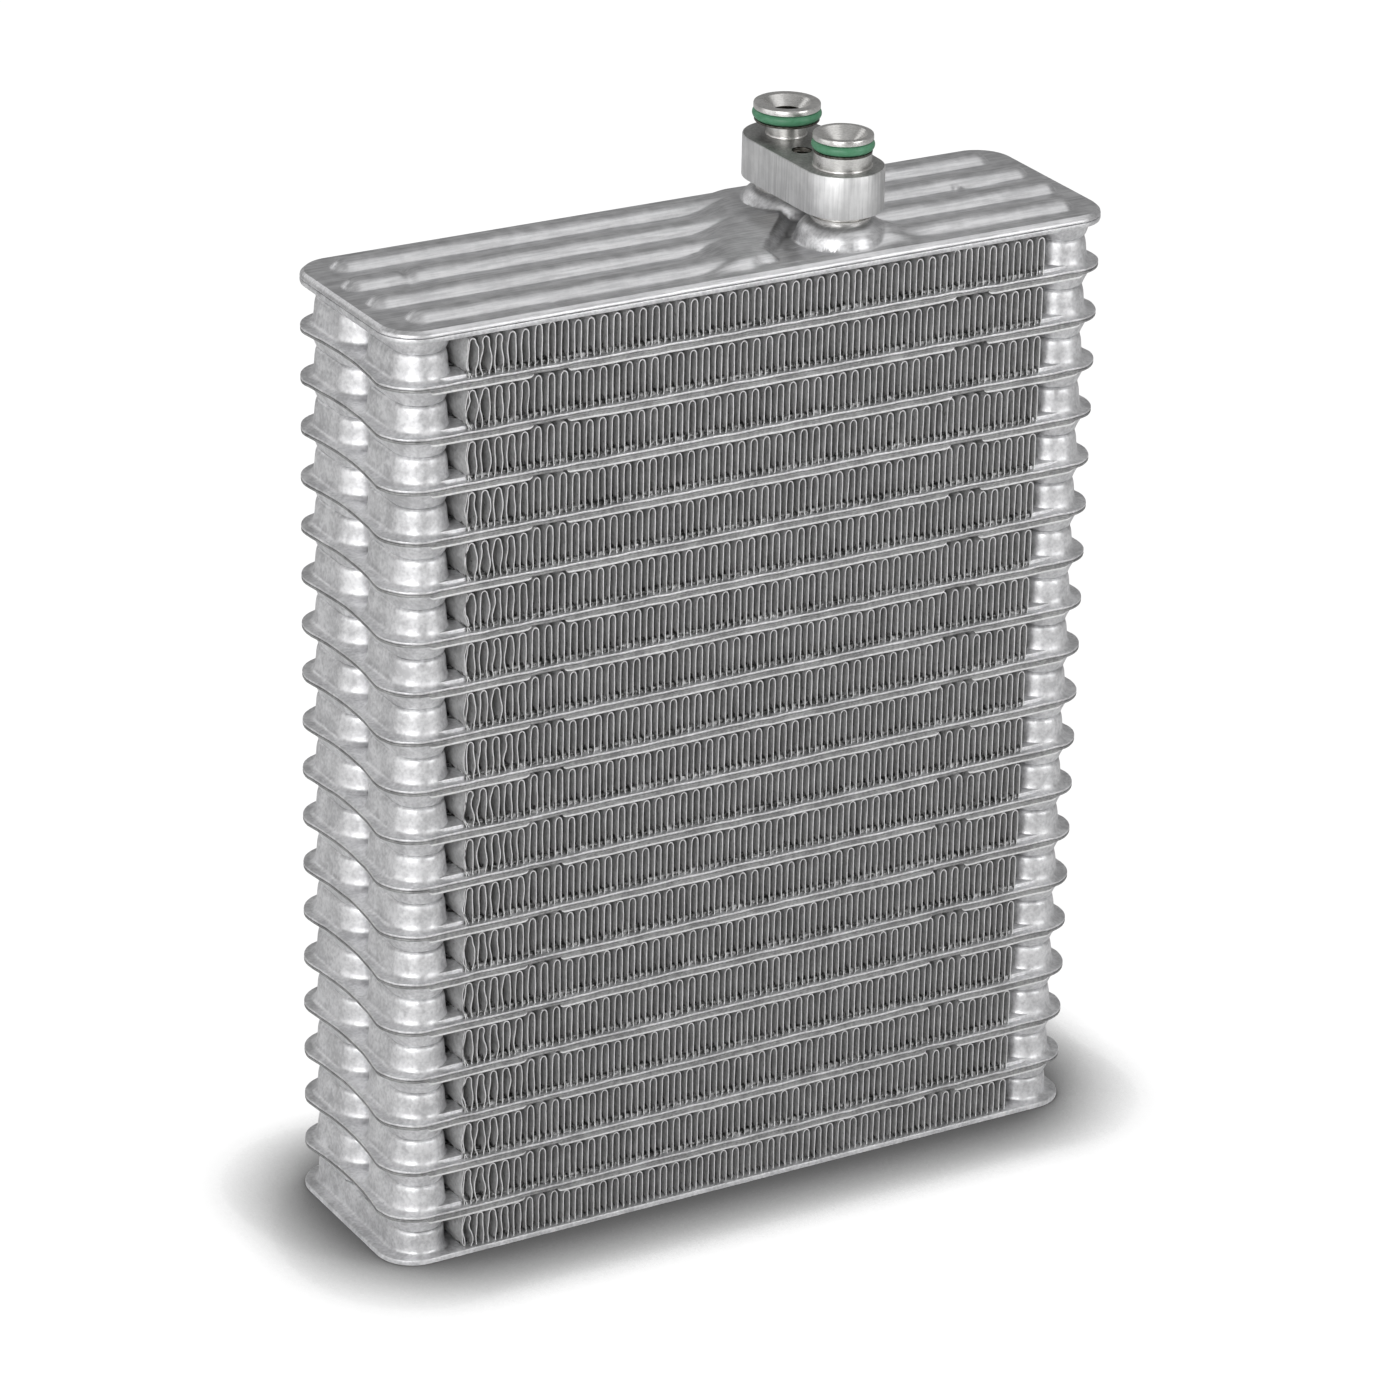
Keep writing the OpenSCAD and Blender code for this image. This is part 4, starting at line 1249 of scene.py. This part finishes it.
def add_turned(shell, profile, cx, cy, n=96, dark=()):
    """Carries a closed [radius, height] profile round an upright axis. The bands
    of faces that start at the points numbered in `dark` take painted shade."""
    a = np.linspace(0, 2 * np.pi, n, endpoint=False)
    profile = np.asarray(profile, float)
    p = np.empty((n, len(profile), 3))
    p[:, :, 0] = cx + np.cos(a)[:, None] * profile[:, 0]
    p[:, :, 1] = cy + np.sin(a)[:, None] * profile[:, 0]
    p[:, :, 2] = profile[:, 1]
    shell.ring(p)[:, list(dark)] = RECESS_SHADE


def tool_rings(r1, r2, z, count, depth):
    """A face from radius r1 to r2 with shallow rings left by the turning tool."""
    r = np.linspace(r1, r2, count * 4 + 1)
    turn = np.linspace(0, count * 2 * np.pi, len(r))
    return np.stack([r, z - depth * (0.5 - 0.5 * np.cos(turn))], 1)


def add_spigot(shell, rim, shank, bore, y):
    """Shank, shoulder, ring groove, rim and coned mouth, hollow down the middle."""
    top = SPIGOT_TOP_Z
    groove_top, groove_low = top - RIM_T, top - RIM_T - RING_T
    floor = rim + RING_PROUD - RING_T + 0.12
    outside = [
        (shank + 0.22, BLOCK_TOP_Z - 0.15), (shank + 0.22, BLOCK_TOP_Z + 0.22),
        (shank + 0.16, BLOCK_TOP_Z + 0.3), (shank, BLOCK_TOP_Z + 0.32),
        (shank, groove_low - 0.62), (rim - 0.35, groove_low - 0.6),
        (rim - 0.22, groove_low - 0.45), (rim - 0.22, groove_low - 0.12), (rim - 0.35, groove_low),
        (floor, groove_low), (floor, groove_top), (rim - 0.15, groove_top),
        (rim, groove_top + 0.15), (rim, top - 0.42), (rim - 0.1, top - 0.16), (rim - 0.35, top - 0.03),
    ]
    face = tool_rings(rim - 0.5, MOUTH_R + 0.25, top - 0.02, max(2, int((rim - MOUTH_R) / 0.5)), 0.035)
    cone_z = top - (MOUTH_R - bore)
    cone = tool_rings(0, 1, 0, 7, 1.0)
    t = cone[:, 0]
    wall = np.stack([MOUTH_R + (bore - MOUTH_R) * t - 0.04 * cone[:, 1], top + (cone_z - top) * t], 1)
    profile = np.vstack([outside, face, [(MOUTH_R + 0.06, top - 0.03)], wall[1:]])
    profile = np.vstack([profile, [(bore, cone_z - 0.3), (bore, BLOCK_TOP_Z - 0.15)]])
    last = len(profile) - 1
    # Painted shade on the shoulder under the ring, in the ring's groove, at the foot of the mouth's cone and
    # down the bore.
    groove, mouth_end = range(4, 11), range(last - 3, last)
    add_turned(shell, profile, PORT_X, y, dark=(*groove, *mouth_end))


def add_collar(shell, bore, y):
    """The collar between a bell and the block, with a small groove near its foot."""
    up = [
        (-0.1, -0.05), (0, 0.1), (0, 0.85), (-0.1, 0.95), (-0.45, 1.0),
        (-0.45, 1.2), (-0.15, 1.3), (-0.1, 1.4), (-0.1, 2.8),
    ]
    outside = [(COLLAR_R + r, BELL_TOP_Z + z) for r, z in up]
    add_turned(shell, [*outside, (bore, outside[-1][1]), (bore, outside[0][1])], PORT_X, y, 72)


def add_thread(shell, z1, z2, r1, r2):
    """A sleeve whose inside is a screw thread between radius r1 and r2."""
    a = np.linspace(0, 2 * np.pi, HOLE_N, endpoint=False)[:, None]
    z = np.linspace(z1, z2, int((z2 - z1) / THREAD_PITCH * 8))[None, :]
    turn = np.abs(((z / THREAD_PITCH + a / (2 * np.pi)) % 1) * 2 - 1)
    inner_r = np.where(z > z2 - 0.35, r2, r1 + (r2 - r1) * turn)
    outer_r = np.full((1, 2), r2 + 0.35)
    r = np.hstack([inner_r, np.tile(outer_r, (HOLE_N, 1))])
    z = np.hstack([z, [[z2, z1]]])
    shell.ring(np.stack([SCREW_X + r * np.cos(a), SCREW_Y + r * np.sin(a), z + 0 * a], -1))


block = Shell()
holes = [circle_loop(PORT_X, s["y"], s["bore"]) for s in (SMALL, LARGE)]
holes.append(circle_loop(SCREW_X, SCREW_Y, SCREW_R))
add_sheet(block, block_outline(), BLOCK_Z, BLOCK_TOP_Z, 0.25, 0.3, holes)
# The block's lids take the darker metal, as painted shade on its top.
block.tri_paint[0][:] = SHADED_TOP
# The walls of the block's holes take painted shade.
block.quad_paint[0][-len(holes) * HOLE_N:] = RECESS_SHADE
block.paint = TURNED
for spigot in (SMALL, LARGE):
    add_spigot(block, **spigot)
    add_collar(block, spigot["bore"], spigot["y"])
# The thread takes painted shade.
block.paint = RECESS_SHADE
add_thread(block, BLOCK_Z + 0.1, BLOCK_TOP_Z - 0.05, THREAD_R, SCREW_R)
block_finishes = [block_side, block_top_shade, turned_metal, recess_shade_metal]
write_piece("block_and_spigots", block, block_finishes, ["connector_block"])
print("block:", block.count, "points, top of the spigots at", SPIGOT_TOP_Z)

# %% [markdown]
# ## Sealing rings
#
# Each ring is a torus that sits in its groove. Its inner side is pressed flat on
# the groove's floor, and its outer side stands out 0.3 mm past the rim.


# %% Sealing rings
def ring_shell(rim, y):
    """A torus with its section held outside the groove's floor."""
    r = RING_T / 2
    a = np.linspace(0, 2 * np.pi, 28, endpoint=False)
    middle_r, middle_z = rim + RING_PROUD - r, SPIGOT_TOP_Z - RIM_T - r
    section_r = np.maximum(middle_r + r * np.cos(a), middle_r - r + 0.12)
    shell = Shell()
    add_turned(shell, np.stack([section_r, middle_z + r * np.sin(a)], 1), PORT_X, y, 112)
    return shell


for label, spigot in (("small", SMALL), ("large", LARGE)):
    seal = ring_shell(spigot["rim"], spigot["y"])
    piece = write_piece(f"seal_{label}", seal, [ring_rubber], [f"ring_{label}"])
print("rings:", len(piece.data.vertices), "points each")

# %% [markdown]
# ## Floor and world
#
# The photograph has a white ground with a soft shadow close to the core. For the
# camera the floor glows white, times its openness to the power of 4.6: openness is
# the share of directions within 34 mm that nothing blocks, so the glow fades to a
# dark line under the core. A floor lit by the lamps alone turns grey far from
# them. All other rays meet a plain light grey paper. Metal looks like what it
# mirrors, so the world is a ramp of greys by height: the flat cover mirrors its
# darkest part, 24 degrees above the horizon, and upright walls mirror the lighter
# part near the horizon.

# %% Floor and world
FLOOR_HALF, SHADOW_REACH, SHADOW_POWER = 6.0, 0.034, 4.6
GLOW_PAPER, PLAIN_PAPER = 0.1, 0.85
scene = bpy.context.scene
floor_mesh = bpy.data.meshes.new("floor")
floor_corners = [(sx * FLOOR_HALF, sy * FLOOR_HALF, 0) for sx, sy in ((-1, -1), (1, -1), (1, 1), (-1, 1))]
floor_mesh.from_pydata(floor_corners, [], [(0, 1, 2, 3)])
floor = bpy.data.objects.new("floor", floor_mesh)
scene.collection.objects.link(floor)
ground = bpy.data.materials.new("white_ground")
ground.use_nodes = True
tree = ground.node_tree
tree.nodes.clear()


def paper(tree, grey):
    """A matt surface of one grey."""
    node = tree.nodes.new("ShaderNodeBsdfDiffuse")
    node.inputs["Color"].default_value = (grey, grey, grey, 1)
    return node.outputs[0]


def for_camera_and_rest(tree, seen, other, into):
    """Shows one shader to the camera and another one to all other rays."""
    rays = tree.nodes.new("ShaderNodeLightPath")
    mix = tree.nodes.new("ShaderNodeMixShader")
    link(tree, rays.outputs["Is Camera Ray"], mix.inputs["Fac"])
    link(tree, other, mix.inputs[1])
    link(tree, seen, mix.inputs[2])
    link(tree, mix.outputs[0], into)


surface = tree.nodes.new("ShaderNodeOutputMaterial")
openness = tree.nodes.new("ShaderNodeAmbientOcclusion")
openness.samples = 16
openness.inputs["Distance"].default_value = SHADOW_REACH
glow = tree.nodes.new("ShaderNodeEmission")
link(tree, math(tree, "POWER", openness.outputs["AO"], SHADOW_POWER), glow.inputs["Strength"])
white = tree.nodes.new("ShaderNodeAddShader")
link(tree, glow.outputs[0], white.inputs[0])
link(tree, paper(tree, GLOW_PAPER), white.inputs[1])
for_camera_and_rest(tree, white.outputs[0], paper(tree, PLAIN_PAPER), surface.inputs["Surface"])
floor_mesh.materials.append(ground)

world = bpy.data.worlds.new("studio")
scene.world = world
world.use_nodes = True
tree = world.node_tree
tree.nodes.clear()
sky = tree.nodes.new("ShaderNodeOutputWorld")
light = tree.nodes.new("ShaderNodeBackground")
seen = tree.nodes.new("ShaderNodeBackground")
seen.inputs["Color"].default_value = (1, 1, 1, 1)
direction = tree.nodes.new("ShaderNodeTexCoord").outputs["Generated"]
split = tree.nodes.new("ShaderNodeSeparateXYZ")
link(tree, direction, split.inputs[0])
ramp = tree.nodes.new("ShaderNodeValToRGB")
link(tree, spread(tree, split.outputs["Z"], -1.0, 1.0), ramp.inputs["Fac"])
stops = ramp.color_ramp.elements
stops[0].position, stops[0].color = 0.48, (0.36, 0.36, 0.36, 1)
stops[1].position, stops[1].color = 0.95, (0.45, 0.45, 0.45, 1)
for position, grey in ((0.62, 0.27), (0.74, 0.26), (0.86, 0.30)):
    stops.new(position).color = (grey, grey, grey, 1)
link(tree, ramp.outputs["Color"], light.inputs["Color"])
light.inputs["Strength"].default_value = 1.0
for_camera_and_rest(tree, seen.outputs[0], light.outputs[0], sky.inputs["Surface"])
print("world stops:", [round(s.position, 2) for s in stops])


# %% [markdown]
# ## Lamps
#
# Each lamp is a large square that looks at the middle of the core. On a matt
# surface that faces it, a lamp gives its watts over pi times the squared distance.
# Its brightness as a mirror image is its watts over pi times its area, so a larger
# square at the same power spreads the highlight and keeps it from clipping. The
# two front lamps put two broad lights on each cup with a darker stripe between.
# The front right one also lights the feet of the ribs, the one above their flanks,
# and the one at the back the round ends of the ribs at the left.


# %% Lamps
def soft_lamp(name, place, aim, size, watts):
    """A square area lamp that looks at a point."""
    lamp = bpy.data.lights.new(name, "AREA")
    lamp.size, lamp.energy = size, watts
    holder = bpy.data.objects.new(name, lamp)
    holder.location = place
    holder.rotation_euler = (Vector(aim) - Vector(place)).to_track_quat("-Z", "Y").to_euler()
    scene.collection.objects.link(holder)
    return holder


CENTRE = (0, 0, 0.13)
soft_lamp("front_left_lamp", (-1.2, -1.1, 0.75), CENTRE, 1.0, 12)
soft_lamp("left_lamp", (-1.6, 0.2, 0.55), CENTRE, 1.2, 4)
soft_lamp("front_right_lamp", (0.75, -1.5, 0.7), CENTRE, 0.8, 6)
soft_lamp("top_lamp", (0.55, -0.35, 1.25), CENTRE, 0.9, 1.5)
soft_lamp("back_lamp", (-0.68, 1.42, 1.04), CENTRE, 0.8, 1.6)

# %% [markdown]
# ## Camera
#
# The camera was found from edges in the photograph: it stands 1.5 m away, looks
# down by 24 degrees and sees the core from its left. Three axes of the view give
# its turn directly, without Euler angles.

# %% Camera
CAMERA_PLACE, LENS_MM, FILM_MM = (-0.697486, -1.190084, 0.734125), 153.489, 36.0
yaw, pitch, roll = np.radians([30.404, 23.838, 1.3155])
forward = np.array([np.sin(yaw) * np.cos(pitch), np.cos(yaw) * np.cos(pitch), -np.sin(pitch)])
right = np.array([np.cos(yaw), -np.sin(yaw), 0.0])
up = np.cross(right, forward)
view_right = np.cos(roll) * right + np.sin(roll) * up
view_up = -np.sin(roll) * right + np.cos(roll) * up
lens = bpy.data.cameras.new("camera")
lens.lens, lens.sensor_width, lens.sensor_fit = LENS_MM, FILM_MM, "HORIZONTAL"
camera = bpy.data.objects.new("camera", lens)
turn = Matrix(np.stack([view_right, view_up, -forward], 1).tolist()).to_4x4()
camera.matrix_world = Matrix.Translation(CAMERA_PLACE) @ turn
scene.collection.objects.link(camera)
scene.camera = camera
scene.view_settings.view_transform = "Standard"
print("camera at", tuple(round(c, 3) for c in camera.location))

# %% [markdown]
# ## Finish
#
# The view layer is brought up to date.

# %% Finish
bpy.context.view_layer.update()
